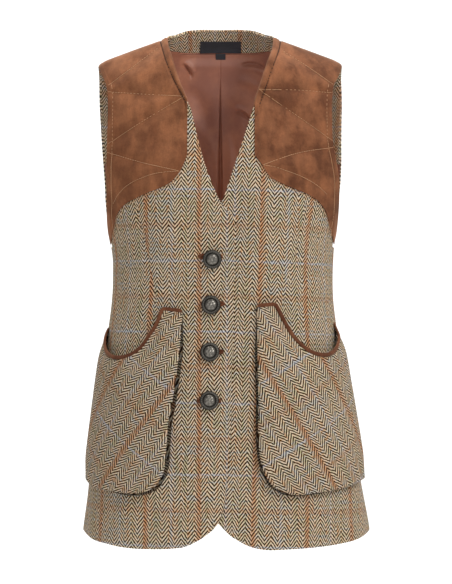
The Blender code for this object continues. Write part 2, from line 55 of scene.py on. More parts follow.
LINING_GAP = 0.0012
LINING_EASE = 0.0015
BUTTONHOLE_THICK = 0.0012

SHOULDER_ROUND = 0.05
SHOULDER_SLOPE = 0.38
SHOULDER_DROP = 0.0043
NECK_HALF = 0.079
NECK_STAND = 0.021
SLOPE_FADE = 0.26
SQUARENESS = 2.25
BUST_RISE = 0.010

UNDERARM = -0.305
SIDE_HEM = -0.709
NOTCH = -0.689
BACK_HEM = -0.710
HEM_REACH = -0.50
PATCH_STRAIGHT = {"right": 0.046, "left": 0.0475}
PATCH_PUFF = 0.002
FOLD_OVER = 0.0022
NECK_FACING_LOW = -0.013
ARMHOLE_FACING = 0.017
BINDING_WIDTH = 0.006
BUTTON_RADIUS = 0.0133
BUTTONHOLE_LENGTH = 0.034
BUTTONHOLE_WIDTH = 0.009

CLOTH_STEP = 0.0035
STITCH_STEP = 0.0033
STITCH_LONG = 0.0031
STITCH_THICK = 0.00038

# The tweed's weave: a column of slanting strokes, and the strokes' distance along it.
COLUMN_WIDTH = 0.0091
STROKE_PITCH = 0.00605
WHITE = (1, 1, 1, 1)

# Where the suede patches end beside the armholes.
PATCH_TAIL = -0.300

# How far the bellows stand out beyond the pocket's face at their foot.
GUSSET_FLARE = {"right": 0.0045, "left": 0.0034}

SIDES = {"right": -1, "left": 1}


def table(names, *rows):
    """Rows of millimetres as named columns of metres."""
    return dict(zip(names.split(), np.round(np.array(rows, float).T / 1000, 7)))


# The body's level rings: half widths to each side, and depths to the front and to the back.
RINGS = table(
    "level right left front back",
    (-749, 202, 218, 137, 151), (-709, 198, 214, 136, 150), (-659, 191, 205, 134, 147),
    (-604, 186, 197, 131, 142), (-539, 178, 186, 126, 132), (-466, 168, 173.5, 119, 116),
    (-414, 160.5, 166, 113, 102), (-379, 156.5, 162, 111, 95), (-345, 155, 161.5, 112, 93),
    (-309, 156.5, 163.5, 117, 96), (-293, 160, 165, 119.5, 98.5), (-269, 169, 172, 122.5, 102),
    (-239, 180, 181, 123.5, 105.5), (-199, 190, 190, 119, 108.5), (-149, 197, 197, 107, 108),
    (-99, 200, 200, 92.5, 103), (-50, 201, 201, 72, 88), (0, 201, 201, 44, 62),
)

# The front edges: down the V, then down the lap. The wearer's right front lies on top.
FRONT_EDGE = table(
    "z right left",
    (2, -79, 79), (-11.5, -77.8, 77.9), (-23.5, -74.5, 75.6), (-44.4, -68.4, 68),
    (-71.3, -59.6, 59.2), (-92.6, -50.5, 52), (-110.4, -41.9, 46), (-126.4, -37.8, 40.9),
    (-152, -31.7, 32.7), (-188.8, -21.7, 20.5), (-218.9, -10.3, 10.3), (-242.5, 0.4, 1),
    (-268, 21.1, -20), (-290, 21.3, -38), (-320, 21.2, -45), (-400, 19.8, -46), (-480, 17.5, -46),
    (-560, 14.5, -44), (-620, 11, -37), (-655, 7, -24), (-676, 2.5, -12), (-689, -3.2, -3),
)

# How far out the armhole edges lie, front and back.
ARMHOLE = table(
    "z front_right front_left back_right back_left",
    (-40, 176.5, 175, 176.8, 175.7), (-60, 167.7, 168, 176.8, 175.9),
    (-75, 161.5, 160.5, 177.2, 177), (-95, 158.6, 157.3, 177.1, 177.8),
    (-125, 158.1, 156.4, 175.8, 177.6), (-154, 158.5, 157.4, 174.2, 177.5),
    (-182, 159.1, 161.6, 172.2, 177.3), (-210, 159, 166, 170, 175.7),
    (-238, 158.6, 166.4, 168.2, 172.4), (-273, 158.2, 164.4, 163.5, 166.7),
    (-294, 156.1, 162.1, 159, 163.6), (-304, 154.7, 160.5, 156.2, 161.7),
)

HEM = {
    "right": table(
        "x z",
        (-196, -709), (-184.5, -716), (-158.9, -721.2), (-130, -724.8), (-97.6, -725.3),
        (-69.6, -723.9), (-48.8, -720.8), (-30.8, -712.3), (-18.4, -704), (-8.7, -695.7),
        (-3.2, -689),
    ),
    "left": table(
        "x z",
        (-3, -689), (3.8, -695.7), (12, -703.9), (24.5, -712.3), (41.1, -720.6), (60.5, -725),
        (96.6, -725.1), (141.7, -723.4), (169, -721), (197.3, -715.7), (212.5, -709),
    ),
}

BACK_NECK = table(
    "x z",
    (0, 17.4), (30, 16.9), (51, 13.1), (71, 3.4), (79, 0),
)

# The suede patches' lower edges, from the V side out to the tail under the arm.
PATCH_LOW = {
    "right": table(
        "x z",
        (46.2, -178), (50, -188.8), (60.1, -207), (67, -214.5), (81.2, -222.9), (98.3, -229),
        (118.7, -238), (133.6, -246.1), (144, -258.3), (149, -273.8), (152.5, -288),
    ),
    "left": table(
        "x z",
        (48, -178), (53.5, -185.7), (60.5, -195.8), (67.6, -207.4), (84.3, -217.3), (104.6, -225.5),
        (123.5, -232.8), (136.8, -241.6), (147.2, -254.1), (152.2, -268.1), (157.3, -285),
    ),
}

# The rows of zigzag stitching on the patches, each from its inner end through its points.
QUILTING = {
    "right": (
        table("x z", (90, -23.2), (123.5, -50), (157, -75.3)),
        table("x z", (51, -94.5), (105, -90.5), (157, -85.3)),
        table("x z", (51, -95.5), (103, -126), (155.7, -159.3)),
        table("x z", (58.7, -200), (108, -188), (157, -172)),
        table(
            "x z",
            (58.9, -200.5), (77.5, -201.8), (96.1, -205), (110.4, -209.9), (124.6, -216.3),
            (136.1, -224.8), (144.5, -234.8), (148.7, -242.5),
        ),
    ),
    "left": (
        table("x z", (90, -28), (124, -50), (157.3, -73.4)),
        table("x z", (55, -85), (105, -84.2), (157, -86.5)),
        table("x z", (55, -86), (105, -120), (156, -155)),
        table("x z", (60, -191.5), (108, -174.5), (156, -165)),
        table(
            "x z",
            (61, -192.2), (76, -195), (90.8, -199.8), (117.9, -209.9), (136.5, -220.5),
            (147.8, -230),
        ),
    ),
}

POCKET_MOUTH = {
    "right": table(
        "x z",
        (172, -418), (169, -440), (164.3, -451), (154.8, -458), (142.4, -460), (127.5, -456),
        (113, -445), (102.9, -430), (91.4, -412), (86.2, -398.4), (84.3, -393.6), (83.2, -392.1),
        (81.5, -391.7), (70, -392.5), (54.3, -394),
    ),
    "left": table(
        "x z",
        (174, -410), (172, -430), (168.1, -441), (161, -451), (149.9, -456), (136.8, -455),
        (125, -450), (113.4, -440), (102, -426), (90.5, -406), (82.6, -391.4), (80.6, -387.6),
        (79.5, -386.1), (77.8, -385.5), (66, -386), (52.8, -387),
    ),
}

POCKET_INNER = table(
    "z right left",
    (-392, 54.3, 52.5), (-450, 57.3, 52), (-485, 61.4, 52.3), (-520, 66.8, 53.3),
    (-548, 72.3, 52.7), (-584, 75.1, 53.7), (-606, 76.6, 57.3), (-620, 79.5, 62),
)

POCKET_LOW = {
    "right": table(
        "x z",
        (196.5, -635), (184.4, -642), (163.6, -645), (145.5, -647), (129.7, -648), (109.3, -646),
        (90.7, -637), (79.5, -620),
    ),
    "left": table(
        "x z",
        (207, -633), (186.4, -640), (170.9, -643), (148.5, -646), (126.9, -648), (104.1, -649),
        (87.1, -645), (72.8, -636), (62, -620),
    ),
}

BUTTONS = table(
    "x z",
    (-11.2, -321.5), (-13, -386), (-14.3, -452), (-15, -519),
)

# Side darts, from under the suede down to under the pockets, with the width taken in.
DARTS = {
    "right": table(
        "z x intake",
        (-235, -120, 0), (-270, -112, 3.5), (-325, -100, 7), (-346, -96, 7.5), (-372, -91.5, 6.5),
        (-420, -84, 3), (-470, -80, 0),
    ),
    "left": table(
        "z x intake",
        (-235, 121, 0), (-270, 115, 3.5), (-311, 107, 6.5), (-340, 97.5, 7.5), (-362, 93, 6.5),
        (-420, 85, 3), (-470, 80, 0),
    ),
}

# Soft creases in the cloth, as lines across x and z. A minus rise is a hollow.
FRONT_CREASES = table(
    "x1 z1 x2 z2 rise width",
    (-152, -318, -105, -352, -1.6, 10), (-150, -345, -110, -362, 1.2, 9),
    (-153, -378, -100, -372, -1.4, 10), (156, -322, 110, -350, -1.5, 10),
    (158, -352, 112, -362, 1.2, 9), (160, -382, 105, -378, -1.4, 11),
    (-60, -250, -20, -330, -0.8, 14), (70, -255, 30, -330, -0.9, 15),
    (-140, -655, -150, -735, 2.2, 20), (-105, -660, -110, -735, -1.8, 16),
    (-45, -560, -52, -730, 1.4, 20), (45, -580, 52, -735, -1.2, 18), (95, -660, 100, -735, 1.8, 20),
    (150, -655, 158, -735, -2, 18), (185, -640, 195, -730, 1.6, 16),
)

BACK_CREASES = table(
    "x1 z1 x2 z2 rise width",
    (-150, -322, -60, -360, -2.8, 13), (-150, -360, -50, -376, 2.2, 12),
    (-148, -392, -70, -384, -2.2, 12), (152, -326, 50, -366, -2.6, 13),
    (155, -356, 70, -380, 2, 11), (150, -398, 60, -392, -2.4, 13), (-50, -352, 55, -358, -1.4, 11),
    (-130, -120, -80, -230, -1.8, 18), (128, -130, 85, -240, -2, 17),
    (-120, -500, -135, -735, 3.4, 26), (-60, -520, -66, -735, -2.6, 22),
    (4, -540, 0, -735, 2.6, 28), (68, -510, 75, -735, -3, 23), (128, -520, 146, -735, 3.4, 26),
)

# Creases of the lining inside the back, seen through the V.
LINING_CREASES = table(
    "x1 z1 x2 z2 rise width",
    (30, -31, 75, -37, -6.2, 2.2), (28, -37, 75, -45, 2.6, 4), (24, -52, 60, -66, 2.4, 6),
    (-62, -28, -44, -50, -5.2, 2.6), (-56, -28, -40, -44, 2.6, 3.5), (22, -93, 46, -109, 3, 3.6),
    (22, -99, 46, -115, -5.6, 2.2), (-50, -62, -20, -130, -3, 10), (20, -80, 34, -160, -3, 10),
    (-90, -80, -30, -140, 3.4, 10), (90, -70, 40, -150, 3.4, 10), (-30, -120, -12, -240, 2.6, 8),
    (16, -130, 10, -240, 2.4, 7),
)


def ease(share):
    share = np.clip(share, 0, 1)
    return share * share * (3 - 2 * share)


def bell(away, width):
    """1 at no distance, falling smoothly to nothing past the width."""
    return np.exp(-((away / width) ** 2))


def lengths(path):
    """How far along a path each of its points lies."""
    return np.concatenate([[0], np.cumsum(np.linalg.norm(np.diff(path, axis=0), axis=1))])


def spots_of(rows):
    return np.stack([rows["x"], rows["z"]], axis=-1)


def read(rows, column, at, key="z"):
    """A smooth curve through one column of a table."""
    order = np.argsort(rows[key])
    keys, values = rows[key][order], rows[column][order]
    slopes = np.gradient(values, keys)
    at = np.clip(np.asarray(at, float), keys[0], keys[-1])
    i = np.clip(np.searchsorted(keys, at) - 1, 0, len(keys) - 2)
    span = keys[i + 1] - keys[i]
    t = (at - keys[i]) / span
    return (
        values[i] * (1 + 2 * t) * (1 - t) ** 2
        + slopes[i] * span * t * (1 - t) ** 2
        + values[i + 1] * t**2 * (3 - 2 * t)
        + slopes[i + 1] * span * t**2 * (t - 1)
    )


def ridge(x):
    """The height of the shoulder line across the body, with the back neck's rise in the middle."""
    far = np.abs(x)
    slope = SHOULDER_SLOPE * (np.hypot(far, 0.040) - math.hypot(NECK_HALF, 0.040))
    rise = NECK_STAND * np.exp(-((far / 0.066) ** 6))
    drop = SHOULDER_DROP * ease((far - 0.062) / 0.020)
    return rise - slope - drop - 15 * np.maximum(0, far - 0.160) ** 2


def height(x, level):
    return level + ridge(x) * ease(1 + level / SLOPE_FADE)


def level_at(run):
    """The first stretch of the run goes round the shoulder's top, the rest straight down."""
    turned = np.clip(run / SHOULDER_ROUND, 0, math.pi / 2)
    below = np.maximum(0, run - SHOULDER_ROUND * math.pi / 2)
    return -SHOULDER_ROUND * (1 - np.cos(turned)) - below


def run_at(level):
    level = np.asarray(level, float)
    turned = np.arccos(np.clip(1 + level / SHOULDER_ROUND, 0, 1))
    return SHOULDER_ROUND * turned + np.maximum(0, -level - SHOULDER_ROUND)


def half_width(level, sign):
    right, left = read(RINGS, "right", level, "level"), read(RINGS, "left", level, "level")
    return np.where(sign < 0, right, left)


def surface(turn, run):
    """A point of the body surface."""
    turn, run = np.broadcast_arrays(np.asarray(turn, float), np.asarray(run, float))
    level = level_at(run)
    across, ahead = np.sin(turn), np.cos(turn)
    power = 2 / SQUARENESS
    x = half_width(level, across) * np.sign(across) * np.abs(across) ** power
    closing = np.sin(np.clip(run / SHOULDER_ROUND, -math.pi / 2, math.pi / 2))
    bust = BUST_RISE * bell(np.abs(x) - 0.088, 0.064) * bell(level + 0.234, 0.078)
    front = read(RINGS, "front", level, "level") * closing + bust
    back = read(RINGS, "back", level, "level") * closing
    y = -np.where(ahead > 0, front, back) * np.sign(ahead) * np.abs(ahead) ** power
    return np.stack([x, y, height(x, level)], axis=-1)


def normal(turn, run):
    step = 1e-3
    round_way = surface(turn + step, run) - surface(turn - step, run)
    down_way = surface(turn, run + step) - surface(turn, run - step)
    out = np.cross(down_way, round_way)
    return out / np.linalg.norm(out, axis=-1, keepdims=True)


def creased(rows, x, z):
    """The rise of the cloth from a table of creases, each fading towards its ends."""
    rise = np.zeros(np.shape(x))
    for x1, z1, x2, z2, high, width in zip(*rows.values()):
        way = np.array([x2 - x1, z2 - z1])
        long = np.linalg.norm(way)
        along = ((x - x1) * way[0] + (z - z1) * way[1]) / long**2
        bow = 0.10 * long * (1 - (2 * np.clip(along, 0, 1) - 1) ** 2)
        aside = ((x - x1) * -way[1] + (z - z1) * way[0]) / long - bow
        fade = ease(along / 0.35 + 0.2) * ease((1 - along) / 0.35 + 0.2)
        rise = rise + high * fade * bell(aside, width)
    return rise


def dart_dip(x, z):
    """The narrow dip along the two side darts."""
    dip = np.zeros(np.shape(x))
    for side, sign in SIDES.items():
        rows = DARTS[side]
        held = read(rows, "intake", z) / 0.0075
        inside = (z < -0.236) & (z > -0.469) & (x * sign > 0)
        dip = dip - np.where(inside, 0.0011 * held * bell(x - read(rows, "x", z), 0.0028), 0)
    return dip


def drape(turn, run):
    """How far the worn cloth stands off the body surface: creases, hollows and soft waves."""
    x, y, z = np.moveaxis(surface(turn, run), -1, 0)
    ahead = ease(0.5 - y / 0.06)
    front = creased(FRONT_CREASES, x, z) + dart_dip(x, z)
    back = creased(BACK_CREASES, x, z)
    waves = np.sin(19 * x + 11 * z + 1.7) * np.sin(23 * z - 9 * x) + 0.6 * np.sin(41 * x - 17 * z)
    calm = ease((-0.03 - z) / 0.10)
    return ahead * front + (1 - ahead) * back + 0.0004 * waves * calm


def point(turn, run, out=0.0):
    out = np.asarray(out, float) + drape(turn, run)
    return surface(turn, run) + normal(turn, run) * out[..., None]


def turn_at(x, level):
    """The turn at which a level ring reaches x, on the front."""
    share = np.clip(np.abs(x) / half_width(level, x), 0, 1)
    return np.sign(x) * np.arcsin(share ** (SQUARENESS / 2))


def find(x, z, out=0.0, behind=False):
    """The (turn, run) of points given by x and z, for a layer that far out, in front or behind."""
    x, z = np.asarray(x, float), np.asarray(z, float)
    level = z.copy()
    for _ in range(40):
        level = z - ridge(x) * ease(1 + level / SLOPE_FADE)
    aim_x, aim_level = x.copy(), level.copy()
    out = np.broadcast_to(out, x.shape)[..., None]
    for _ in range(25):
        turn = turn_at(aim_x, aim_level)
        if behind:
            turn = math.pi - turn
        run = run_at(aim_level)
        miss = surface(turn, run) + normal(turn, run) * out - np.stack([x, x, z], axis=-1)
        aim_x = aim_x - 0.7 * miss[..., 0]
        aim_level = np.minimum(aim_level - 0.7 * miss[..., 2], -1e-4)
    most = math.radians(85)
    turn = np.clip(turn_at(aim_x, aim_level), -most, most)
    return np.stack([math.pi - turn if behind else turn, run_at(aim_level)], axis=-1)


def edge_at(rows, column, level, sign=1):
    """The (turn, run) where an edge given by z and x crosses a level."""
    z = np.array(level, float)
    for _ in range(12):
        x = sign * read(rows, column, z)
        z = height(x, level)
    return np.stack([turn_at(x, level), run_at(level)], axis=-1)


def paced(path, count):
    """A path with its points a constant step apart."""
    steps = np.linalg.norm(np.diff(path, axis=0), axis=1)
    along = np.concatenate([[0], np.cumsum(steps)]) / steps.sum()
    at = np.linspace(0, 1, count)
    return np.stack([np.interp(at, along, path[:, i]) for i in range(path.shape[1])], axis=-1)


def reach(turn, run):
    """Metres round the body for each radian of turn."""
    step = 0.01
    ends = surface(turn + step, run) - surface(turn - step, run)
    return np.linalg.norm(ends, axis=-1) / (2 * step)


def moved(path, distance):
    """A path of (turn, run), moved sideways along the surface."""
    turn, run = path[:, 0], path[:, 1]
    scale = reach(turn, run)
    ahead = np.stack([np.gradient(turn) * scale, np.gradient(run)], axis=-1)
    ahead /= np.linalg.norm(ahead, axis=-1, keepdims=True)
    return np.stack([turn - ahead[:, 1] * distance / scale, run + ahead[:, 0] * distance], axis=-1)


def fill(outer, inner, low, top, low_reach=1.0, share=None):
    """A grid of (turn, run) between two side edges, bent to a low edge and a top edge.

    share gives the columns' places across, where they are not a constant step apart.
    """
    across = np.linspace(0, 1, len(low))[None, :, None]
    up = np.linspace(0, 1, len(outer))[:, None, None]
    if share is not None:
        across = share[None, :]
    straight = outer[:, None] * (1 - across) + inner[:, None] * across
    low_bend = low[None] - (low[0] * (1 - across) + low[-1] * across)
    top_bend = top[None] - (top[0] * (1 - across) + top[-1] * across)
    return straight + ease(1 - up / low_reach) * low_bend + up * top_bend


def knotted(corners):
    """A table of corners with each one's distance along their line as its key, s."""
    return {"s": lengths(corners), "x": corners[:, 0], "z": corners[:, 1]}


def smooth_path(rows, sign, out, count):
    """A fine path of (turn, run) along a table of x and z, in the table's order."""
    curve = knotted(spots_of(rows))
    at = np.linspace(0, curve["s"][-1], 4 * count)
    spots = find(sign * read(curve, "x", at, "s"), read(curve, "z", at, "s"), out)
    return paced(spots, count)


# Meshes


def link(name, data):
    thing = bpy.data.objects.new(name, data)
    bpy.context.scene.collection.objects.link(thing)
    return thing


def new_piece(name, points, faces, materials, face_material=None, cloth=None):
    """An object from points and faces. cloth holds each face corner's place on the flat cloth."""
    mesh = bpy.data.meshes.new(name)
    mesh.from_pydata(points.tolist(), [], faces if isinstance(faces, list) else faces.tolist())
    for material in materials:
        mesh.materials.append(material)
    if face_material is not None:
        mesh.polygons.foreach_set("material_index", face_material.astype(np.int32))
    if cloth is not None:
        mesh.uv_layers.new(name="Cloth").data.foreach_set("uv", cloth.astype(np.float32).ravel())
    mesh.shade_smooth()
    mesh.update()
    piece = link(name, mesh)
    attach(piece, "root")
    return piece


def quads(index):
    """The faces between neighbouring points of a grid of indices."""
    corners = index[:-1, :-1], index[:-1, 1:], index[1:, 1:], index[1:, :-1]
    return np.stack(corners, axis=-1).reshape(-1, 4)


def shell(name, outer, inner, cloth, materials, split=None, rim=3):
    """A sheet of cloth with a rounded rim, from its outer and inner points.

    materials are for the outer face, the inner face and the rim. split is (column, cloth) where the
    flat cloth takes other places from that column on, as beyond a dart.
    """
    outer, inner = outer.copy(), inner.copy()
    rows, columns = outer.shape[:2]
    index = np.arange(rows * columns).reshape(rows, columns)
    ring = np.concatenate([index[0, :], index[1:, -1], index[-1, -2::-1], index[-2:0:-1, 0]])
    r, c = np.divmod(ring, columns)
    middle = (outer + inner) / 2
    away = middle[r, c] - middle[np.clip(r, 1, rows - 2), np.clip(c, 1, columns - 2)]
    away /= np.linalg.norm(away, axis=-1, keepdims=True)
    half = np.linalg.norm(outer[r, c] - inner[r, c], axis=-1, keepdims=True) / 2
    outer[r, c] -= away * half
    inner[r, c] -= away * half
    centre, arm = (outer[r, c] + inner[r, c]) / 2, (outer[r, c] - inner[r, c]) / 2
    angles = [math.pi * k / (rim + 1) for k in range(1, rim + 1)]
    layers = [centre + arm * math.cos(a) + away * half * math.sin(a) for a in angles]
    points = np.concatenate([outer.reshape(-1, 3), inner.reshape(-1, 3), *layers])
    size, long = rows * columns, len(ring)
    bands = [ring, *[2 * size + k * long + np.arange(long) for k in range(rim)], ring + size]
    face_sets = [quads(index), quads(index + size)[:, ::-1]]
    for one, two in zip(bands, bands[1:]):
        face_sets.append(np.stack([np.roll(one, -1), one, two, np.roll(two, -1)], axis=-1))
    faces = np.concatenate(face_sets)
    flat = np.concatenate([cloth.reshape(-1, 2)] * 2 + [cloth[r, c]] * rim)
    corners = flat[faces]
    if split is not None:
        column, other = split
        beyond = np.concatenate([other.reshape(-1, 2)] * 2 + [other[r, c]] * rim)
        place = np.concatenate([np.tile(np.arange(columns), rows)] * 2 + [c] * rim)
        past = place[faces].max(axis=1) > column
        corners[past] = beyond[faces[past]]
    kinds = np.repeat([0, 1] + [2] * (rim + 1), [len(s) for s in face_sets])
    facing = np.cross(outer[0, 1] - outer[0, 0], outer[1, 0] - outer[0, 0])
    if np.dot(facing, outer[0, 0] - inner[0, 0]) < 0:
        faces, corners = faces[:, ::-1], corners[:, ::-1]
    used = list(dict.fromkeys(materials))
    slots = np.array([used.index(m) for m in materials])
    return new_piece(name, points, faces, used, slots[kinds], corners)


def tube(name, path, side_way, out_way, half_wide, half_thick, material, around=12):
    """A rounded strip along a path, with closed ends. side_way and out_way span its section."""
    count = len(path)
    taper = np.ones(count)
    taper[0] = taper[-1] = 0.35
    taper[1] = taper[-2] = 0.85
    angle = np.linspace(0, 2 * math.pi, around, endpoint=False)
    spread = np.cos(angle)[None, :, None] * side_way[:, None]
    lift = np.sin(angle)[None, :, None] * out_way[:, None]
    taper = taper[:, None, None]
    rings = path[:, None] + spread * half_wide * taper + lift * half_thick * taper
    points = np.concatenate([rings.reshape(-1, 3), path[:1], path[-1:]])
    index = np.arange(count * around).reshape(count, around)
    index = np.concatenate([index, index[:, :1]], axis=1)
    first, last = count * around, count * around + 1
    ends = [(first, index[0, i + 1], index[0, i]) for i in range(around)]
    ends += [(last, index[-1, i], index[-1, i + 1]) for i in range(around)]
    u = np.linspace(0, 2 * math.pi, around + 1) * half_wide
    flat = np.stack(np.broadcast_arrays(u[None, :], lengths(path)[:, None]), axis=-1).reshape(-1, 2)
    sides = flat[quads(np.arange(count * (around + 1)).reshape(count, around + 1))].reshape(-1, 2)
    corners = np.concatenate([sides, *[np.tile(flat[i], (3 * around, 1)) for i in (0, -1)]])
    faces = quads(index).tolist() + np.array(ends).tolist()
    return new_piece(name, points, faces, [material], None, corners)


def stitches(name, lines, material, thick=STITCH_THICK):
    """Rows of sewn thread: each line of (points, outward ways) becomes short round stitches."""
    rings = (-0.5, 0.5, 0.1), (-0.38, 0.9, 0.4), (0.0, 1.0, 0.5), (0.38, 0.9, 0.4), (0.5, 0.5, 0.1)
    around = 6
    points, faces = [], []
    for path, ways in lines:
        long = np.linalg.norm(np.diff(path, axis=0), axis=1).sum()
        count = max(2, int(long / STITCH_STEP) + 1)
        joined = paced(np.concatenate([path, ways], axis=1), count)
        spots, outs = joined[:, :3], joined[:, 3:]
        outs = outs / np.linalg.norm(outs, axis=-1, keepdims=True)
        heading = np.gradient(spots, axis=0)
        heading /= np.linalg.norm(heading, axis=-1, keepdims=True)
        for spot, out, ahead in zip(spots, outs, heading):
            aside = np.cross(ahead, out)
            start = sum(len(p) for p in points)
            made = []
            for along, wide, up in rings:
                for k in range(around):
                    a = 2 * math.pi * k / around
                    round_way = aside * math.cos(a) + out * math.sin(a)
                    aside_by = (round_way * wide + out * up) * thick
                    made.append(spot + ahead * along * STITCH_LONG + aside_by)
            points.append(np.array(made))
            index = start + np.arange(len(made)).reshape(len(rings), around)
            faces.append(quads(np.concatenate([index, index[:, :1]], axis=1)))
    return new_piece(name, np.concatenate(points), np.concatenate(faces), [material])


def cloth_piece(node):
    """Hides the solid that a sheet of cloth stands for."""
    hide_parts(node)


# Shader nodes


class Field:
    """A node's output to calculate with. Each sum makes a Math node."""

    def __init__(self, tree, socket):
        self.tree, self.socket = tree, socket

    def made(self, operation, *terms):
        node = self.tree.nodes.new("ShaderNodeMath")
        node.operation = operation
        for target, term in zip(node.inputs, terms or (self,)):
            join(self.tree, target, term)
        return Field(self.tree, node.outputs[0])

    def __add__(self, other):
        return self.made("ADD", self, other)

    def __sub__(self, other):
        return self.made("SUBTRACT", self, other)

    def __rsub__(self, other):
        return self.made("SUBTRACT", other, self)

    def __mul__(self, other):
        return self.made("MULTIPLY", self, other)

    def __truediv__(self, other):
        return self.made("DIVIDE", self, other)


def join(tree, target, value):
    """Gives an input a number, a colour or another node's output."""
    value = value.socket if isinstance(value, Field) else value
    if isinstance(value, bpy.types.NodeSocket):
        tree.links.new(value, target)
    elif value is not None:
        target.default_value = value


def feed(tree, sockets, **values):
    """Gives each named socket its value. A name has _ for each space."""
    for label, value in values.items():
        join(tree, sockets[label.replace("_", " ")], value)


def new_node(tree, kind, **values):
    """A new node with its inputs fed. Returns its first output."""
    node = tree.nodes.new("ShaderNode" + kind)
    feed(tree, node.inputs, **values)
    return Field(tree, node.outputs[0])


def blend_colour(tree, share, one, two):
    node = tree.nodes.new("ShaderNodeMix")
    node.data_type = "RGBA"
    for socket, value in ((0, share), (6, one), (7, two)):
        join(tree, node.inputs[socket], value)
    return Field(tree, node.outputs[2])


def step_between(tree, value, low, high, to_low=0.0, to_high=1.0):
    node = tree.nodes.new("ShaderNodeMapRange")
    node.interpolation_type = "SMOOTHSTEP"
    for target, given in zip(node.inputs, (value, low, high, to_low, to_high)):
        join(tree, target, given)
    return Field(tree, node.outputs["Result"])


def noise(tree, place, scale, detail, roughness):
    return new_node(tree, "TexNoise", Vector=place, Scale=scale, Detail=detail, Roughness=roughness)


def grain(tree, place, scale, detail=2.0, roughness=0.5, stretch=(1, 1, 1), spin=0.0):
    """Smooth random values over a stretched place, from 0 to 1."""
    place = new_node(tree, "Mapping", Vector=place, Scale=stretch, Rotation=(0, 0, spin))
    return noise(tree, place, scale, detail, roughness)


def x_and_y(tree, place):
    node = tree.nodes.new("ShaderNodeSeparateXYZ")
    join(tree, node.inputs[0], place)
    return Field(tree, node.outputs["X"]), Field(tree, node.outputs["Y"])


def new_group(name, outs, **ins):
    """A shader node group with named sockets. Each input has its first value, or None for a place.

    Returns the group, its output sockets and its inputs.
    """
    group = bpy.data.node_groups.new(name, "ShaderNodeTree")
    for label, start in ins.items():
        kind = "Vector" if start is None else "Color" if isinstance(start, tuple) else "Float"
        socket = group.interface.new_socket(
            label.replace("_", " "), in_out="INPUT", socket_type="NodeSocket" + kind
        )
        if start is not None:
            socket.default_value = start
    for label in outs:
        kind = "NodeSocketColor" if label == "Colour" else "NodeSocketFloat"
        group.interface.new_socket(label, in_out="OUTPUT", socket_type=kind)
    given = group.nodes.new("NodeGroupInput").outputs
    put = group.nodes.new("NodeGroupOutput").inputs
    return group, put, *[Field(group, given[label.replace("_", " ")]) for label in ins]


def place_group(tree, group, **values):
    """A group placed in a material with its own values. Returns its outputs by name."""
    node = tree.nodes.new("ShaderNodeGroup")
    node.node_tree = GROUPS[group]
    feed(tree, node.inputs, **values)
    return {socket.name: Field(tree, socket) for socket in node.outputs}


def herringbone_group():
    """Herringbone twill: columns of slanting strokes that turn back at each column's edge."""
    tree, put, cloth, width, pitch, lean = new_group(
        "Herringbone Twill",
        ("Light Yarn", "Relief"),
        Cloth=None,
        Column_Width=COLUMN_WIDTH,
        Stroke_Pitch=STROKE_PITCH,
        Slope=1.45,
    )
    u, v = x_and_y(tree, cloth)
    wander = (grain(tree, cloth, 160) - 0.5) * 0.0018
    slope = lean + (grain(tree, cloth, 42, 1) - 0.5) * 1.3
    columns = (u + wander) / width
    share = columns.made("FRACT")
    number = columns.made("FLOOR")
    odd = number.made("FLOORED_MODULO", number, 2.0)
    rise = (share - 0.5) * width * slope * (1.0 - odd * 2.0)
    along = (v + rise + wander) / pitch + odd * 0.22
    uneven = grain(tree, cloth, 420, 2, 0.6) - 0.5
    wave = (along * (2 * math.pi)).made("SINE") + uneven * 1.9
    edge = step_between(tree, (share - 0.5).made("ABSOLUTE"), 0.42, 0.5)
    feed(tree, put, Light_Yarn=step_between(tree, wave, -0.12, 0.26), Relief=wave - edge * 0.5)
    return tree


def overcheck_group():
    """Crossing lines of coloured yarn, wide apart: one colour, with another halfway between."""
    tree, put, cloth, column_repeat, row_repeat, first_column, first_row, wide = new_group(
        "Windowpane Overcheck",
        ("First Lines", "Second Lines", "Third Lines"),
        Cloth=None,
        Column_Repeat=0.0770,
        Row_Repeat=0.0990,
        First_Column=0.0,
        First_Row=-0.4728,
        Line_Width=0.0105,
    )
    u, v = x_and_y(tree, cloth)
    ragged = (grain(tree, cloth, 260, 2) - 0.5) * 0.0045
    slim = wide * 0.40

    def lines(axis, shift, width):
        start, repeat = (first_column, column_repeat) if axis is u else (first_row, row_repeat)
        part = (axis - start + ragged) / repeat + (0.5 + shift)
        off = (part.made("FRACT") - 0.5).made("ABSOLUTE") * repeat
        half = width * 0.5
        return step_between(tree, off, half, half * 0.25)

    worn = step_between(tree, grain(tree, cloth, 190, 2, 0.6), 0.30, 0.62, 0.35, 1.0)
    warm_column, cool_row = lines(u, 0.0, wide), lines(v, 0.5, slim)
    first = warm_column.made("MAXIMUM", warm_column, lines(v, 0.0, wide) * 0.45)
    second = cool_row.made("MAXIMUM", lines(u, 0.5, slim) * 0.6, cool_row)
    third = lines(u, 0.24, slim)
    feed(tree, put, First_Lines=first * worn, Second_Lines=second * worn, Third_Lines=third * worn)
    return tree


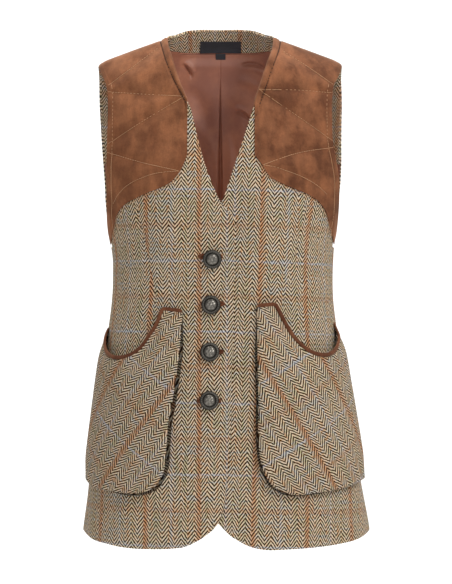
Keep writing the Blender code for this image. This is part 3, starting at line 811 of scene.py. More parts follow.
def mottle_group():
    """Soft blotches of two colours with fine specks, as dyed or napped cloth has."""
    tree, put, place, light, dark, blotch_scale, speck_scale, strength = new_group(
        "Mottled Dye",
        ("Colour", "Blotches", "Specks"),
        Place=None,
        Light=WHITE,
        Dark=WHITE,
        Blotch_Scale=22.0,
        Speck_Scale=900.0,
        Speck_Strength=0.3,
    )
    blotches = step_between(tree, noise(tree, place, blotch_scale, 4, 0.62), 0.34, 0.66)
    specks = noise(tree, place, speck_scale, 2, 0.6)
    colour = blend_colour(tree, blotches, dark, light)
    tint = (specks - 0.5) * strength + 1.0
    colour = new_node(tree, "HueSaturation", Value=tint, Color=colour)
    feed(tree, put, Colour=colour, Blotches=blotches, Specks=specks)
    return tree


def yarn_group():
    """The tints of single yarns: long thin streaks across and along the cloth."""
    tree, put, cloth, base, warm, cool, moss = new_group(
        "Yarn Tints",
        ("Colour", "Slubs"),
        Cloth=None,
        Base=WHITE,
        Warm=WHITE,
        Cool=WHITE,
        Moss=WHITE,
    )
    along = grain(tree, cloth, 1, 2, 0.6, stretch=(300, 14, 1))
    across = grain(tree, cloth, 1, 2, 0.6, stretch=(16, 330, 1))
    flecks = grain(tree, cloth, 150, 2, 0.6)
    colour = blend_colour(tree, step_between(tree, along - across * 0.6, 0.18, 0.08), base, moss)
    colour = blend_colour(tree, step_between(tree, along + flecks * 0.5, 0.78, 0.94), colour, warm)
    colour = blend_colour(tree, step_between(tree, across + flecks * 0.5, 0.74, 0.60), colour, cool)
    feed(tree, put, Colour=colour, Slubs=flecks)
    return tree


GROUPS = {}


def cloth_place(tree):
    place = tree.nodes.new("ShaderNodeUVMap")
    place.uv_map = "Cloth"
    return place.outputs["UV"]


def object_place(tree):
    return tree.nodes.new("ShaderNodeTexCoord").outputs["Object"]


def bump(tree, *layers):
    """Bumps laid on one another. Each layer is (height, strength, distance)."""
    below = None
    for high, strength, deep in layers:
        below = new_node(tree, "Bump", Strength=strength, Distance=deep, Height=high, Normal=below)
    return below


def new_material(name, **sockets):
    material = bpy.data.materials.new(name)
    material.use_nodes = True
    shader = material.node_tree.nodes["Principled BSDF"].inputs
    feed(material.node_tree, shader, **sockets)
    return material, material.node_tree, shader


def tweed_material(name, turned=0.0, shift=(0.0, 0.0), first_column=-0.0295, tone_and_painted_light=1.0, **weave):
    """Herringbone tweed with its overcheck. turned is the cut's angle to the grain, in radians."""
    material, tree, shader = new_material(
        name,
        Roughness=0.92,
        Sheen_Weight=0.02,
        Sheen_Roughness=0.5,
        Sheen_Tint=(0.95, 0.86, 0.72, 1),
        Specular_IOR_Level=0.06,
    )
    place = new_node(
        tree, "Mapping", Vector=cloth_place(tree), Rotation=(0, 0, turned), Location=(*shift, 0)
    )
    twill = place_group(tree, "herringbone", Cloth=place, **weave)
    check = place_group(tree, "overcheck", Cloth=place, First_Column=first_column)
    yarns = place_group(
        tree,
        "yarns",
        Cloth=place,
        Base=(0.67, 0.525, 0.375, 1),
        Warm=(0.56, 0.35, 0.19, 1),
        Cool=(0.50, 0.47, 0.41, 1),
        Moss=(0.48, 0.42, 0.27, 1),
    )
    light = yarns["Colour"]
    brown = step_between(tree, yarns["Slubs"], 0.40, 0.66)
    dark = blend_colour(tree, brown, (0.017, 0.009, 0.0025, 1), (0.076, 0.027, 0.005, 1))
    for lines, strength, bright, deep in (
        ("Third Lines", 0.45, (0.42, 0.38, 0.18, 1), (0.030, 0.024, 0.008, 1)),
        ("Second Lines", 0.60, (0.50, 0.53, 0.60, 1), (0.130, 0.140, 0.180, 1)),
        ("First Lines", 0.80, (0.50, 0.215, 0.085, 1), (0.075, 0.024, 0.010, 1)),
    ):
        share = check[lines] * strength
        light = blend_colour(tree, share, light, bright)
        dark = blend_colour(tree, share, dark, deep)
    colour = blend_colour(tree, twill["Light Yarn"], dark, light)
    fuzz = grain(tree, place, 1800, 3, 0.7)
    # tone_and_painted_light scales the colour's brightness: it paints shade on the pocket bellows
    # and light on the facings.
    feed(
        tree,
        shader,
        Base_Color=new_node(tree, "HueSaturation", Value=tone_and_painted_light, Color=colour),
        Normal=bump(tree, (twill["Relief"], 0.45, 0.0005), (fuzz, 0.35, 0.0004)),
    )
    return material


def dyed(tree, place, light, dark, blotch, speck, strength):
    return place_group(
        tree,
        "mottle",
        Place=place,
        Light=(*light, 1),
        Dark=(*dark, 1),
        Blotch_Scale=blotch,
        Speck_Scale=speck,
        Speck_Strength=strength,
    )


def suede_material(name, light, dark):
    """Napped suede, brushed into lighter and darker blotches."""
    material, tree, shader = new_material(
        name,
        Roughness=0.88,
        Sheen_Weight=0.22,
        Sheen_Roughness=0.4,
        Sheen_Tint=(0.95, 0.68, 0.45, 1),
        Specular_IOR_Level=0.22,
    )
    place = object_place(tree)
    dye = dyed(tree, place, light, dark, 26.0, 480.0, 0.55)
    brushed = grain(tree, place, 60, 3, 0.6, stretch=(1.6, 1, 0.5), spin=0.5)
    brushed = step_between(tree, brushed, 0.38, 0.62)
    darker = new_node(tree, "HueSaturation", Value=0.80, Color=dye["Colour"])
    feed(
        tree,
        shader,
        Base_Color=blend_colour(tree, brushed, darker, dye["Colour"]),
        Roughness=step_between(tree, dye["Blotches"], 0.0, 1.0, 0.94, 0.82),
        Normal=bump(tree, (brushed, 0.25, 0.0005), (dye["Specks"], 0.4, 0.0003)),
    )
    return material


def lining_material(name):
    """Smooth brown lining cloth with a fine twill and a soft gloss."""
    material, tree, shader = new_material(
        name, Sheen_Weight=0.15, Sheen_Roughness=0.3, Sheen_Tint=(0.9, 0.75, 0.75, 1)
    )
    place = object_place(tree)
    dye = dyed(tree, place, (0.425, 0.165, 0.090), (0.275, 0.105, 0.067), 14.0, 700.0, 0.12)
    x, y = x_and_y(tree, cloth_place(tree))
    twill = ((x + y) * (2 * math.pi / 0.0011)).made("SINE")
    feed(
        tree,
        shader,
        Base_Color=dye["Colour"],
        Roughness=step_between(tree, dye["Blotches"], 0.0, 1.0, 0.55, 0.42),
        Normal=bump(tree, (grain(tree, place, 30, 3, 0.5), 0.3, 0.002), (twill, 0.12, 0.0002)),
    )
    return material


def pewter_material(name):
    """Antique pewter: bright on the raised places, blackened in the hollows."""
    material, tree, shader = new_material(name, Metallic=1.0)
    bright, _ = x_and_y(tree, cloth_place(tree))
    worn = grain(tree, object_place(tree), 900, 3, 0.6)
    shade = bright + (worn - 0.5) * 0.20
    feed(
        tree,
        shader,
        Base_Color=blend_colour(tree, shade, (0.008, 0.008, 0.007, 1), (0.25, 0.23, 0.20, 1)),
        Roughness=step_between(tree, shade, 0.0, 1.0, 0.60, 0.24),
        Normal=bump(tree, (worn, 0.25, 0.0003)),
    )
    return material


def thread_material(name, colour, sheen=0.2):
    material, tree, shader = new_material(
        name, Roughness=0.7, Sheen_Weight=sheen, Specular_IOR_Level=0.2
    )
    dye = dyed(tree, object_place(tree), colour, [0.75 * c for c in colour], 90.0, 4000.0, 0.3)
    feed(tree, shader, Base_Color=dye["Colour"], Normal=bump(tree, (dye["Specks"], 0.3, 0.0002)))
    return material


def label_material(name, colour):
    """Close woven satin tape, with fine ribs across."""
    material, tree, shader = new_material(
        name, Roughness=0.55, Sheen_Weight=0.2, Sheen_Roughness=0.4
    )
    place = cloth_place(tree)
    dye = dyed(tree, place, colour, [0.7 * c for c in colour], 60.0, 2500.0, 0.4)
    _, up = x_and_y(tree, place)
    ribs = (up * (2 * math.pi / 0.0007)).made("SINE")
    feed(tree, shader, Base_Color=dye["Colour"], Normal=bump(tree, (ribs, 0.3, 0.0002)))
    return material


# Cloth pieces


def fine_levels(hem):
    """The levels of a panel's fine rows: hem to underarm, chest and the shoulder's rounded top."""
    low = np.arange(SIDE_HEM, UNDERARM - CLOTH_STEP / 2, CLOTH_STEP)
    under = UNDERARM + np.array([0, 0.0002, 0.0006, 0.0011, 0.0018, 0.0035])
    chest = np.linspace(-0.298, -SHOULDER_ROUND, 72)
    cap = level_at(SHOULDER_ROUND * np.radians(np.arange(86, 2, -3.6)))
    levels = np.concatenate([low, under, chest, cap, level_at(np.array([SEAM_GAP / 2]))])
    return levels + (hem - levels[0]) * ease((HEM_REACH - levels) / (HEM_REACH - levels[0]))


def side_turn(sign):
    """The side seam's turn, half a seam gap in front of the widest line."""
    return sign * (math.pi / 2 - (SEAM_GAP / 2 / 0.1) ** (SQUARENESS / 2))


def scooped(edge, levels, sign):
    """Rounds an armhole edge into the side seam at the underarm."""
    scoop = np.sqrt(np.clip((levels - UNDERARM) / 0.0018, 0, 1))
    edge[:, 0] = side_turn(sign) + (edge[:, 0] - side_turn(sign)) * scoop
    return edge


def front_grid(side, columns):
    sign = SIDES[side]
    levels = fine_levels(SIDE_HEM)
    outer = scooped(edge_at(ARMHOLE, "front_" + side, levels, sign), levels, sign)
    inner = edge_at(FRONT_EDGE, side, fine_levels(NOTCH))
    share = 1 - np.linspace(1, 0, columns) ** 1.3
    turns = outer[0, 0] + (inner[0, 0] - outer[0, 0]) * share
    z = np.full(columns, -0.72)
    for _ in range(6):
        z = read(HEM[side], "z", surface(turns, run_at(z))[:, 0], "x")
    low = np.stack([turns, run_at(z)], axis=-1)
    low[0], low[-1] = outer[0], inner[0]
    top = np.linspace(outer[-1], inner[-1], columns)
    return fill(outer, inner, low, top, low_reach=0.3)


def to_the_dart(grid, side, column):
    """Slides a front grid's points sideways so that one column follows the dart."""
    rows = DARTS[side]
    levels = level_at(grid[:, column, 1])
    z = np.clip(levels, -0.47, -0.235)
    aim = find(read(rows, "x", z), z)[:, 0]
    hold = ease((levels + 0.56) / 0.09) * ease((-0.17 - levels) / 0.065)
    count = grid.shape[1]
    share = np.arange(count)
    bend = np.where(share <= column, share / column, (count - 1 - share) / (count - 1 - column))
    grid = grid.copy()
    grid[..., 0] += ((aim - grid[:, column, 0]) * hold)[:, None] * bend[None, :]
    return grid


def lap_drop(grid):
    """How far the under front dips beneath the upper one."""
    x = surface(grid[..., 0], grid[..., 1])[..., 0]
    level = level_at(grid[..., 1])
    return (TWEED + LAID_GAP) * ease((0.050 - x) / 0.026) * ease((-0.205 - level) / 0.03)


def flat_cloth(turn, run, centre=0.0):
    """Each point's place on the flat cloth: metres round the body from a centre line, and up."""
    shares = np.linspace(0, 1, 33)[:, None, None]
    rings = surface(centre + (turn - centre) * shares, run + 0 * shares)[..., :2]
    long = np.linalg.norm(np.diff(rings, axis=0), axis=-1).sum(axis=0)
    x = surface(turn, run)[..., 0]
    up = ridge(x) * ease(1 + level_at(run) / SLOPE_FADE) + SHOULDER_ROUND * (math.pi / 2 - 1) - run
    return np.stack([np.sign(turn - centre) * long, up], axis=-1)


def laid(name, grid, over, under, materials, centre=0.0, cloth=None, **rest):
    """A sheet over a grid of (turn, run), from how far its two faces stand off the body surface."""
    turn, run = grid[..., 0], grid[..., 1]
    if cloth is None:
        cloth = flat_cloth(turn, run, centre)
    if not isinstance(materials, list):
        materials = [materials] * 3
    faces = [point(turn, run, out + np.zeros(turn.shape)) for out in (over, under)]
    return shell(name, *faces, cloth, materials, **rest)


def make_fronts(tweeds, lining):
    column = 34
    for side, columns in (("right", 92), ("left", 100)):
        grid = to_the_dart(front_grid(side, columns), side, column)
        drop = lap_drop(grid) if side == "left" else 0.0
        turn, run = grid[..., 0], grid[..., 1]
        cloth = flat_cloth(turn, run)
        z = surface(turn[:, column], run[:, column])[:, 2]
        intake = np.where(np.abs(z + 0.352) < 0.118, read(DARTS[side], "intake", z), 0)
        beyond = cloth.copy()
        beyond[..., 0] += SIDES[side] * np.maximum(intake, 0)[:, None]
        skins = [tweeds[side], lining, tweeds[side]]
        name = "front_panel_" + side
        piece = laid(name, grid, -drop, -drop - TWEED, skins, cloth=beyond, split=(column, cloth))
        cloth_piece("front_" + side)


def back_top(columns, first, last):
    """The back's top edge: shoulder seam, neckline, shoulder seam."""
    x = surface(np.linspace(first, last, columns), SEAM_GAP / 2)[:, 0]
    far = np.abs(x)
    level = np.where(far < NECK_HALF, read(BACK_NECK, "z", far, "x") - ridge(x), -1e-6)
    run = np.maximum(run_at(np.minimum(level, -1e-6)), SEAM_GAP / 2)
    return np.stack([math.pi - turn_at(x, level_at(run)), run], axis=-1)


def back_edge(levels, side):
    """The back's side edge: side seam, then armhole, as (turn, run) behind the body."""
    sign = SIDES[side]
    edge = scooped(edge_at(ARMHOLE, "back_" + side, levels, sign), levels, sign)
    edge[:, 0] = math.pi - edge[:, 0]
    return edge


def make_back(tweed, lining):
    levels, columns = fine_levels(BACK_HEM), 165
    left, right = back_edge(levels, "left"), back_edge(levels, "right")
    top = back_top(columns, left[-1, 0], right[-1, 0])
    top[0], top[-1] = left[-1], right[-1]
    grid = fill(left, right, np.linspace(left[0], right[0], columns), top)
    piece = laid("back_panel", grid, 0.0, -TWEED, [tweed, lining, tweed], math.pi)
    cloth_piece("back")


def patch_grid(side, rows, columns):
    sign = SIDES[side]
    tail = np.array([read(ARMHOLE, "front_" + side, PATCH_TAIL), PATCH_TAIL])
    outer_z = np.linspace(PATCH_TAIL, -0.046, rows)
    outer = find(sign * read(ARMHOLE, "front_" + side, outer_z), outer_z)
    curve = knotted(np.concatenate([tail[None], spots_of(PATCH_LOW[side])[::-1]]))
    at = np.linspace(0, curve["s"][-1], columns)
    low = np.stack([read(curve, "x", at, "s"), read(curve, "z", at, "s")], axis=-1)
    inner_z = np.linspace(low[-1, 1], -0.0045, rows)
    vee = np.abs(read(FRONT_EDGE, side, inner_z)) - FOLD_OVER
    inner = find(sign * np.maximum(vee, PATCH_STRAIGHT[side]), inner_z)
    low = find(sign * low[:, 0], low[:, 1])
    outer[0], inner[0] = low[0], low[-1]
    outer[-1, 1] = inner[-1, 1] = 0.0120
    return fill(outer, inner, low, np.linspace(outer[-1], inner[-1], columns))


def quilt_line(rows, count):
    """A smooth line of stitching through its points, as x and z."""
    share = np.linspace(rows["x"][0], rows["x"][-1], count)
    return share, read(rows, "z", share, "x")


def to_lines(x, z, corners):
    """The distance from each spot to the nearest of some lines, each given by its corners."""
    nearest = np.full(np.shape(x), np.inf)
    spots = np.stack([x, z], axis=-1)
    for row in corners:
        for start, end in zip(row, row[1:]):
            way = end - start
            share = np.clip(((spots - start) @ way) / (way @ way), 0, 1)
            away = spots - start - share[..., None] * way
            nearest = np.minimum(nearest, np.linalg.norm(away, axis=-1))
    return nearest


def band_wide(side, z):
    """The width of the band along a patch's V edge, down to its seam."""
    narrow = {"right": 0.6, "left": 0.0}[side]
    return 0.0072 * (1 - narrow * ease((-0.02 - z) / 0.09))


def patch_relief(side, turn, run):
    """How far the padded suede stands out: puffed between the stitching, with raised edge bands."""
    place = surface(turn, run)
    x, z = np.abs(place[..., 0]), place[..., 2]
    quilted = to_lines(x, z, [np.stack(quilt_line(rows, 9), axis=-1) for rows in QUILTING[side]])
    low = to_lines(x, z, [spots_of(PATCH_LOW[side])])
    arm = read(ARMHOLE, "front_" + side, z) - x
    vee = x - np.maximum(np.abs(read(FRONT_EDGE, side, z)), PATCH_STRAIGHT[side])
    near = np.minimum(np.minimum(arm, vee), low)
    flat = ease((run - 0.008) / 0.030)
    beside_vee = ease((z + 0.125) / 0.02)
    puff = PATCH_PUFF * 0.75 * (1 - bell(quilted, 0.009)) * ease((near - 0.001) / 0.010) * flat
    groove = -0.00045 * bell(quilted, 0.0012) * ease(near / 0.004)
    arm_band = ease((0.0074 - arm) / 0.0012) * ease((z + 0.30) / 0.02)
    vee_band = ease((band_wide(side, z) - 0.0006 - vee) / 0.0012) * beside_vee
    band = 0.0009 * np.maximum(arm_band, vee_band) * (0.4 + 0.6 * flat)
    seam = -0.0016 * bell(vee - band_wide(side, z), 0.0015) * beside_vee
    return puff + groove + band + seam - 0.0004 * bell(low - 0.0022, 0.0008)


def sew(name, side, rows, out, material, thick=STITCH_THICK):
    """Stitches along rows of (turn, run) on a patch. out gives how far out they lie."""
    lines = [(point(*spots.T, out(*spots.T)), normal(*spots.T)) for spots in rows]
    stitches(name + side, lines, material, thick)


def make_patches(suedes, thread, seam_shadow_thread):
    for side, sign in SIDES.items():
        grid = patch_grid(side, 150, 76)
        turn, run = grid[..., 0], grid[..., 1]
        thin = 1 - 0.45 * ease((0.030 - run) / 0.022)
        x, _, z = np.moveaxis(surface(turn, run), -1, 0)
        past = (np.abs(read(FRONT_EDGE, side, z)) - np.abs(x)) / FOLD_OVER
        folded = 0.0032 * np.where(z > -0.15, np.clip(past, 0, 1), 0) ** 2
        over = (LAID_GAP + SUEDE) * thin + patch_relief(side, turn, run) - folded
        piece = laid("suede_patch_" + side, grid, over, LAID_GAP * thin - folded, suedes[side])
        cloth_piece("shoulder_patch_" + side)
        lines = [quilt_line(rows, 60) for rows in QUILTING[side]]
        z = np.linspace(-0.288, -0.076, 160)
        lines.append((read(ARMHOLE, "front_" + side, z) - 0.0080, z))
        rows = [find(sign * x, z) for x, z in lines]
        x, z = spots_of(PATCH_LOW[side]).T
        rows.append(moved(paced(find(sign * x, z), 80), sign * 0.0022))
        sew(
            "patch_stitching_",
            side,
            rows,
            lambda turn, run: LAID_GAP + SUEDE + 0.0003 + patch_relief(side, turn, run),
            thread,
        )
        # The band's seam: a thick thread, dark and without sheen, sunk in the groove, so its colour
        # paints the groove's shadow line.
        z = np.linspace({"right": -0.108, "left": -0.128}[side], -0.012, 80)
        spots = find(sign * (np.abs(read(FRONT_EDGE, side, z)) + band_wide(side, z)), z)
        sunk = LAID_GAP + SUEDE - 0.0006
        sew("band_seam_", side, [spots], lambda turn, run: sunk + 0 * turn, seam_shadow_thread, 0.0008)


def make_neck_facing(tweed):
    columns = 61
    top_x, low_x = np.linspace(-0.0786, 0.0786, columns), np.linspace(-0.0795, 0.0795, columns)
    top_z = read(BACK_NECK, "z", np.abs(top_x), "x")
    downs = np.linspace(0, 1, 18)
    rows = [
        find(top_x + (low_x - top_x) * down, top_z + (NECK_FACING_LOW - top_z) * down, behind=True)
        for down in downs
    ]
    gap = (SEAM_GAP + (NECK_GAP - SEAM_GAP) * ease(downs / 0.35))[:, None]
    name = "neck_facing_inside"
    piece = laid(name, np.stack(rows), -TWEED - gap, -TWEED - gap - FACING, tweed, math.pi)
    cloth_piece("neck_facing")
    return rows[-1]


def strip(name, spots, out, half_wide, half_thick, material):
    """A rounded strip laid along a path of (turn, run). Returns it with its middle line."""
    turn, run = spots.T
    middle = point(turn, run, out + np.zeros(turn.shape))
    out_way = normal(turn, run)
    side_way = np.cross(out_way, np.gradient(middle, axis=0))
    side_way /= np.linalg.norm(side_way, axis=-1, keepdims=True)
    return tube(name, middle, side_way, out_way, half_wide, half_thick, material), middle


def make_neck_piping(lining):
    """The strip of lining cloth folded round the facing's lower edge."""
    spots = find(np.linspace(-0.080, 0.080, 70), np.full(70, NECK_FACING_LOW - 0.0013), behind=True)
    out = -TWEED - NECK_GAP - FACING / 2
    strip("neck_piping", spots, out, 0.0012, 0.0012, lining)[0]


def make_armhole_facings(tweed):
    cap = level_at(SHOULDER_ROUND * np.radians([82, 75, 68, 60, 50, 40, 30]))
    levels = np.concatenate([np.linspace(-0.170, -0.05, 36), cap])
    for side, sign in SIDES.items():
        edge = back_edge(levels, side)
        inside = edge.copy()
        inside[:, 0] += sign * ARMHOLE_FACING / reach(edge[:, 0], edge[:, 1])
        grid = np.stack([edge * (1 - t) + inside * t for t in np.linspace(0, 1, 12)], axis=1)
        gap = (SEAM_GAP + (INNER_GAP - SEAM_GAP) * ease(np.linspace(0, 2.5, 12)))[None, :]
        name = "armhole_facing_inside_" + side
        piece = laid(name, grid, -TWEED - gap, -TWEED - gap - FACING, tweed, math.pi)
        node = "armhole_facing_" + side
        cloth_piece(node)


def lining_rise(turn, run):
    """Creases of the hanging lining, and its centre pleat that opens downwards."""
    x, _, z = np.moveaxis(surface(turn, run), -1, 0)
    open_to = ease((-0.055 - z) / 0.19)
    from_fold = x + 0.0004
    high = 0.0034 * ease((-0.048 - z) / 0.035) + 0.0050 * open_to
    slit = np.exp(-((from_fold / (0.0007 + 0.0027 * open_to)) ** 4))
    slack = 0.0052 * ease((-0.018 - z) / 0.016) * ease((0.130 - np.abs(x)) / 0.04)
    soft = creased(LINING_CREASES, x, z) + slack
    inward = high * bell(from_fold, 0.020) * (1 - slit) - 0.0006 * slit + 0.9 * soft
    return np.maximum(inward, -0.0006) * ease((0.150 - np.abs(x)) / 0.02)


def make_lining(lining, facing):
    """The lining inside the back, from the facings down past the underarm."""
    below, beside = np.linspace(-0.330, -0.268, 20), np.linspace(-0.264, -0.174, 28)
    above = np.linspace(-0.170, -SHOULDER_ROUND, 70)
    cap = level_at(SHOULDER_ROUND * np.radians(np.arange(87, 42, -1.8)))
    levels = np.concatenate([below, beside, above, cap])
    edges = []
    for side in ("left", "right"):
        edge = back_edge(levels, side)
        in_by = LINING_GAP + ARMHOLE_FACING * ease((levels + 0.190) / 0.016)
        edge[:, 0] += SIDES[side] * in_by / reach(edge[:, 0], edge[:, 1])
        edges.append(edge)
    spread = np.linspace(-1, 1, 231)
    share = (0.5 + 0.5 * np.sign(spread) * np.abs(spread) ** 1.7)[:, None]
    low, top = [edges[0][i] * (1 - share) + edges[1][i] * share for i in (0, -1)]
    seam = facing[np.argsort(facing[:, 0])]
    under = np.interp(top[:, 0], seam[:, 0], seam[:, 1] + 2 * LINING_GAP, left=0, right=0)
    top[:, 1] = np.maximum(top[:, 1], under)
    grid = fill(edges[0], edges[1], low, top, share=share)
    turn, run = grid[..., 0], grid[..., 1]
    loose = INNER_GAP + LINING_EASE * ease((level_at(run) + 0.10) / 0.05) + lining_rise(turn, run)
    piece = laid("back_lining", grid, -TWEED - loose, -TWEED - loose - LINING, lining, math.pi)
    cloth_piece("lining_back")


def make_seam_tapes(lining):
    """Strips of lining inside the side seams, from the underarm to the hem."""
    levels = np.linspace(SIDE_HEM + 0.008, UNDERARM - 0.004, 110)
    run = run_at(levels)
    for side, sign in SIDES.items():
        middle = np.full(levels.shape, sign * math.pi / 2)
        turn = middle[:, None] + np.linspace(-0.008, 0.008, 7) / reach(middle, run)[:, None]
        grid = np.stack(np.broadcast_arrays(turn, run[:, None]), axis=-1)
        out = -TWEED - SEAM_GAP
        piece = laid("seam_tape_inside_" + side, grid, out, out - LINING, lining)


def pocket_grid(side, rows, columns):
    sign, stand = SIDES[side], 0.013
    mouth = smooth_path(POCKET_MOUTH[side], sign, stand, columns)
    low = smooth_path(POCKET_LOW[side], sign, stand, columns)
    top = moved(mouth, -sign * (BINDING_WIDTH / 2 + SEAM_GAP))
    inner_z = np.linspace(POCKET_LOW[side]["z"][-1], POCKET_MOUTH[side]["z"][-1], rows)
    inner = find(sign * read(POCKET_INNER, side, inner_z), inner_z, stand)
    inner[0], inner[-1] = low[-1], top[-1]
    up = np.linspace(0, 1, rows)[:, None]
    outer = low[0] + (top[0] - low[0]) * np.concatenate([ease(up / 0.2), up], axis=1)
    return fill(outer, inner, low, top), mouth


def pocket_stand(side, across, down):
    """How far each point of a bellows pocket's face stands off the front."""
    strapped = bell(down, 0.16) * ease((across - 0.45) / 0.4)
    sewn = bell(down, 0.12) * (1 - across) ** 4
    tacked = bell(down, 0.10) * bell(across, 0.06)
    full, tack = {"right": (0.0060, 0.0030), "left": (0.0022, 0.0072)}[side]
    return 0.0155 - 0.008 * strapped - full * (1 - across) ** 3 - 0.0045 * sewn - tack * tacked


def pocket_roll(across, up):
    """The soft roll of a pocket face towards its three sewn edges, with slack over the middle."""
    near = np.minimum(np.minimum(across * 0.17, (1 - across) * 0.17), up * 0.24)
    roll = 1 - np.sqrt(np.clip(1 - (1 - np.clip(near / 0.007, 0, 1)) ** 2, 0, 1))
    slack = np.sin(math.pi * across) * np.sin(math.pi * up) * np.sin(7 * across + 4 * up)
    return 0.0034 * roll - 0.0012 * slack


def around_edges(values):
    """The values along a pocket face's sewn edges: down the outer one, across, up the inner."""
    return np.concatenate([values[::-1, 0], values[0, 1:-1], values[:, -1]])


def make_bellows(side, path, high, material):
    """A pocket's side wall, folded inwards like bellows, from the front to the face's edges, in
    tweed darkened as painted shade.
    """
    sign, steps = SIDES[side], np.linspace(0, 1, 9)
    along = np.linspace(0, 1, len(path))
    z = surface(path[:, 0], path[:, 1])[:, 2]
    flare = GUSSET_FLARE[side] * ease((along - 0.40) / 0.14) * ease((-0.375 - z) / 0.08)
    walls = []
    for start, depth in ((0.0008, 0.0050), (0.0030, 0.0046)):
        wall = []
        for s in steps:
            fold = math.sin(math.pi * s) ** 2
            ring = moved(path, sign * (start + depth * fold - flare * (1 - s) ** 2))
            out = LAID_GAP + (high - TWEED - 0.0034 - LAID_GAP) * s
            wall.append(point(ring[:, 0], ring[:, 1], out))
        walls.append(np.stack(wall))
    long = lengths(walls[0][0])[None, :]
    cloth = np.stack(np.broadcast_arrays(0.013 * steps[:, None], long), axis=-1)
    gusset = shell("pocket_bellows_" + side, *walls, cloth, [material] * 3)
    node, carrier = "pocket_gusset_" + side, "front_panel_" + side
    cloth_piece(node)


def make_pockets(tweed_faces, tweed, folded, suede):
    rows, columns = 110, 72
    across = np.linspace(0, 1, columns)[None, :]
    up = np.linspace(0, 1, rows)[:, None]
    for side in SIDES:
        grid, mouth = pocket_grid(side, rows, columns)
        stand = pocket_stand(side, across, up[::-1])
        high = stand - pocket_roll(across, up)
        skins = [tweed_faces[side], tweed, tweed_faces[side]]
        face = laid("pocket_face_" + side, grid, high, high - TWEED, skins)
        cloth_piece("pocket_" + side)
        # folded is the bellows' tweed, darkened as painted shade for the fold under the face.
        make_bellows(side, around_edges(grid), around_edges(stand), folded)
        half = (TWEED + 0.0014) / 2
        out = stand[-1] + 0.0007 - half
        name = "mouth_binding_" + side
        binding, middle = strip(name, mouth, out, BINDING_WIDTH / 2, half, suede)
        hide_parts("pocket_binding_" + side)


def make_buttonholes(suede):
    """Bound buttonholes: two rolled suede lips round a slit, each pulled a little out of place."""
    pulled = np.array(((-2.4, 3.0), (2.2, 1.6), (2.0, 0.8), (-0.6, 0.0))) / 1000
    half_long, half_wide = BUTTONHOLE_LENGTH / 2, BUTTONHOLE_WIDTH / 2
    spread, ways = np.linspace(-1, 1, 33)[None, :], np.linspace(-1, 1, 17)[:, None]
    half = half_wide * (1 - 0.55 * np.abs(spread) ** 4)
    lips = 0.0008 * np.sin(math.pi * np.abs(ways))
    slit = 0.0007 * bell(ways, 0.12) * ease((0.8 - np.abs(spread)) / 0.1)
    cloth = np.stack(np.broadcast_arrays(spread * half_long, ways * half_wide), axis=-1)
    for i, (x, z) in enumerate(spots_of(BUTTONS) + pulled):
        grid = find(*np.broadcast_arrays(x + spread * half_long, z + ways * half))
        over = LAID_GAP + BUTTONHOLE_THICK + lips - slit
        name = f"bound_buttonhole_{i + 1}"
        piece = laid(name, grid, over, LAID_GAP, suede, cloth=cloth, rim=2)
        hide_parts(f"buttonhole_{i + 1}")


# A button's section: radius as a share of the button's, height in millimetres, and brightness.
# It runs from the centre over the boss, the hollow and the rolled rim to the shank.
BUTTON_SECTION = (
    (0.0, 9.2, 1.00), (0.10, 9.2, 1.00), (0.15, 8.6, 0.45), (0.20, 8.7, 0.60), (0.30, 8.8, 0.72),
    (0.42, 8.3, 0.66), (0.52, 7.4, 0.55), (0.59, 6.5, 0.35), (0.64, 5.5, 0.05), (0.68, 5.4, 0.04),
    (0.73, 6.0, 0.22), (0.80, 6.3, 0.34), (0.88, 6.1, 0.28), (0.95, 5.5, 0.20), (0.99, 4.7, 0.12),
    (1.00, 4.0, 0.08), (0.97, 3.2, 0.10), (0.90, 2.8, 0.05), (0.26, 2.6, 0.05), (0.24, 2.4, 0.05),
    (0.24, 0.0, 0.05), (0.0, 0.0, 0.05),
)


def make_buttons(pewter):
    share, tall, shine = np.array(BUTTON_SECTION).T[..., None]
    radius, tall, around = share * BUTTON_RADIUS, tall / 1000, 64
    count = len(radius)
    angle = np.linspace(0, 2 * math.pi, around, endpoint=False)
    rope = 0.00022 * np.sin(24 * angle) * bell(radius - 0.81 * BUTTON_RADIUS, 0.0009)
    rosette = 0.00025 * np.sin(6 * angle + 0.4) * bell(radius - 0.40 * BUTTON_RADIUS, 0.0018)
    relief = rope + rosette
    up = tall + np.where(tall > 0.0045, relief, 0)
    points = np.stack([radius * np.cos(angle), radius * np.sin(angle), up], axis=-1).reshape(-1, 3)
    index = np.arange(count * around).reshape(count, around)
    faces = quads(np.concatenate([index, index[:, :1]], axis=1)[:, ::-1])
    bright = np.clip(shine + 900 * relief, 0, 1).reshape(-1)
    corners = np.stack([bright, np.repeat(np.linspace(0, 1, count), around)], axis=-1)[faces]
    for i, (x, z) in enumerate(spots_of(BUTTONS)):
        piece = new_piece(f"pewter_button_{i + 1}", points, faces, [pewter], None, corners)
        spot = find(x, z)
        out = Vector(normal(spot[0], spot[1]))
        seat = Vector(point(spot[0], spot[1], LAID_GAP + BUTTONHOLE_THICK + SEAM_GAP))
        upright = out.to_track_quat("Z", "Y").to_matrix().to_4x4()
        turned = Matrix.Rotation(0.9 * i, 4, "Z")
        piece.matrix_world = Matrix.Translation(seat) @ upright @ turned
        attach(piece, "root")
        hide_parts(f"button_{i + 1}")


def make_label(name, node, material, half_wide, top, low, thick):
    """A bare woven label laid on the inside of the back neck."""
    across, rows = np.linspace(-half_wide, half_wide, 41), np.linspace(top, low, 15)
    cloth = np.stack(np.meshgrid(across, rows), axis=-1)
    grid = find(cloth[..., 0], cloth[..., 1], behind=True)
    out = -TWEED - NECK_GAP - FACING - LAID_GAP
    piece = laid(name, grid, out, out - thick, material, cloth=cloth, rim=2)
    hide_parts(node)


# Stage


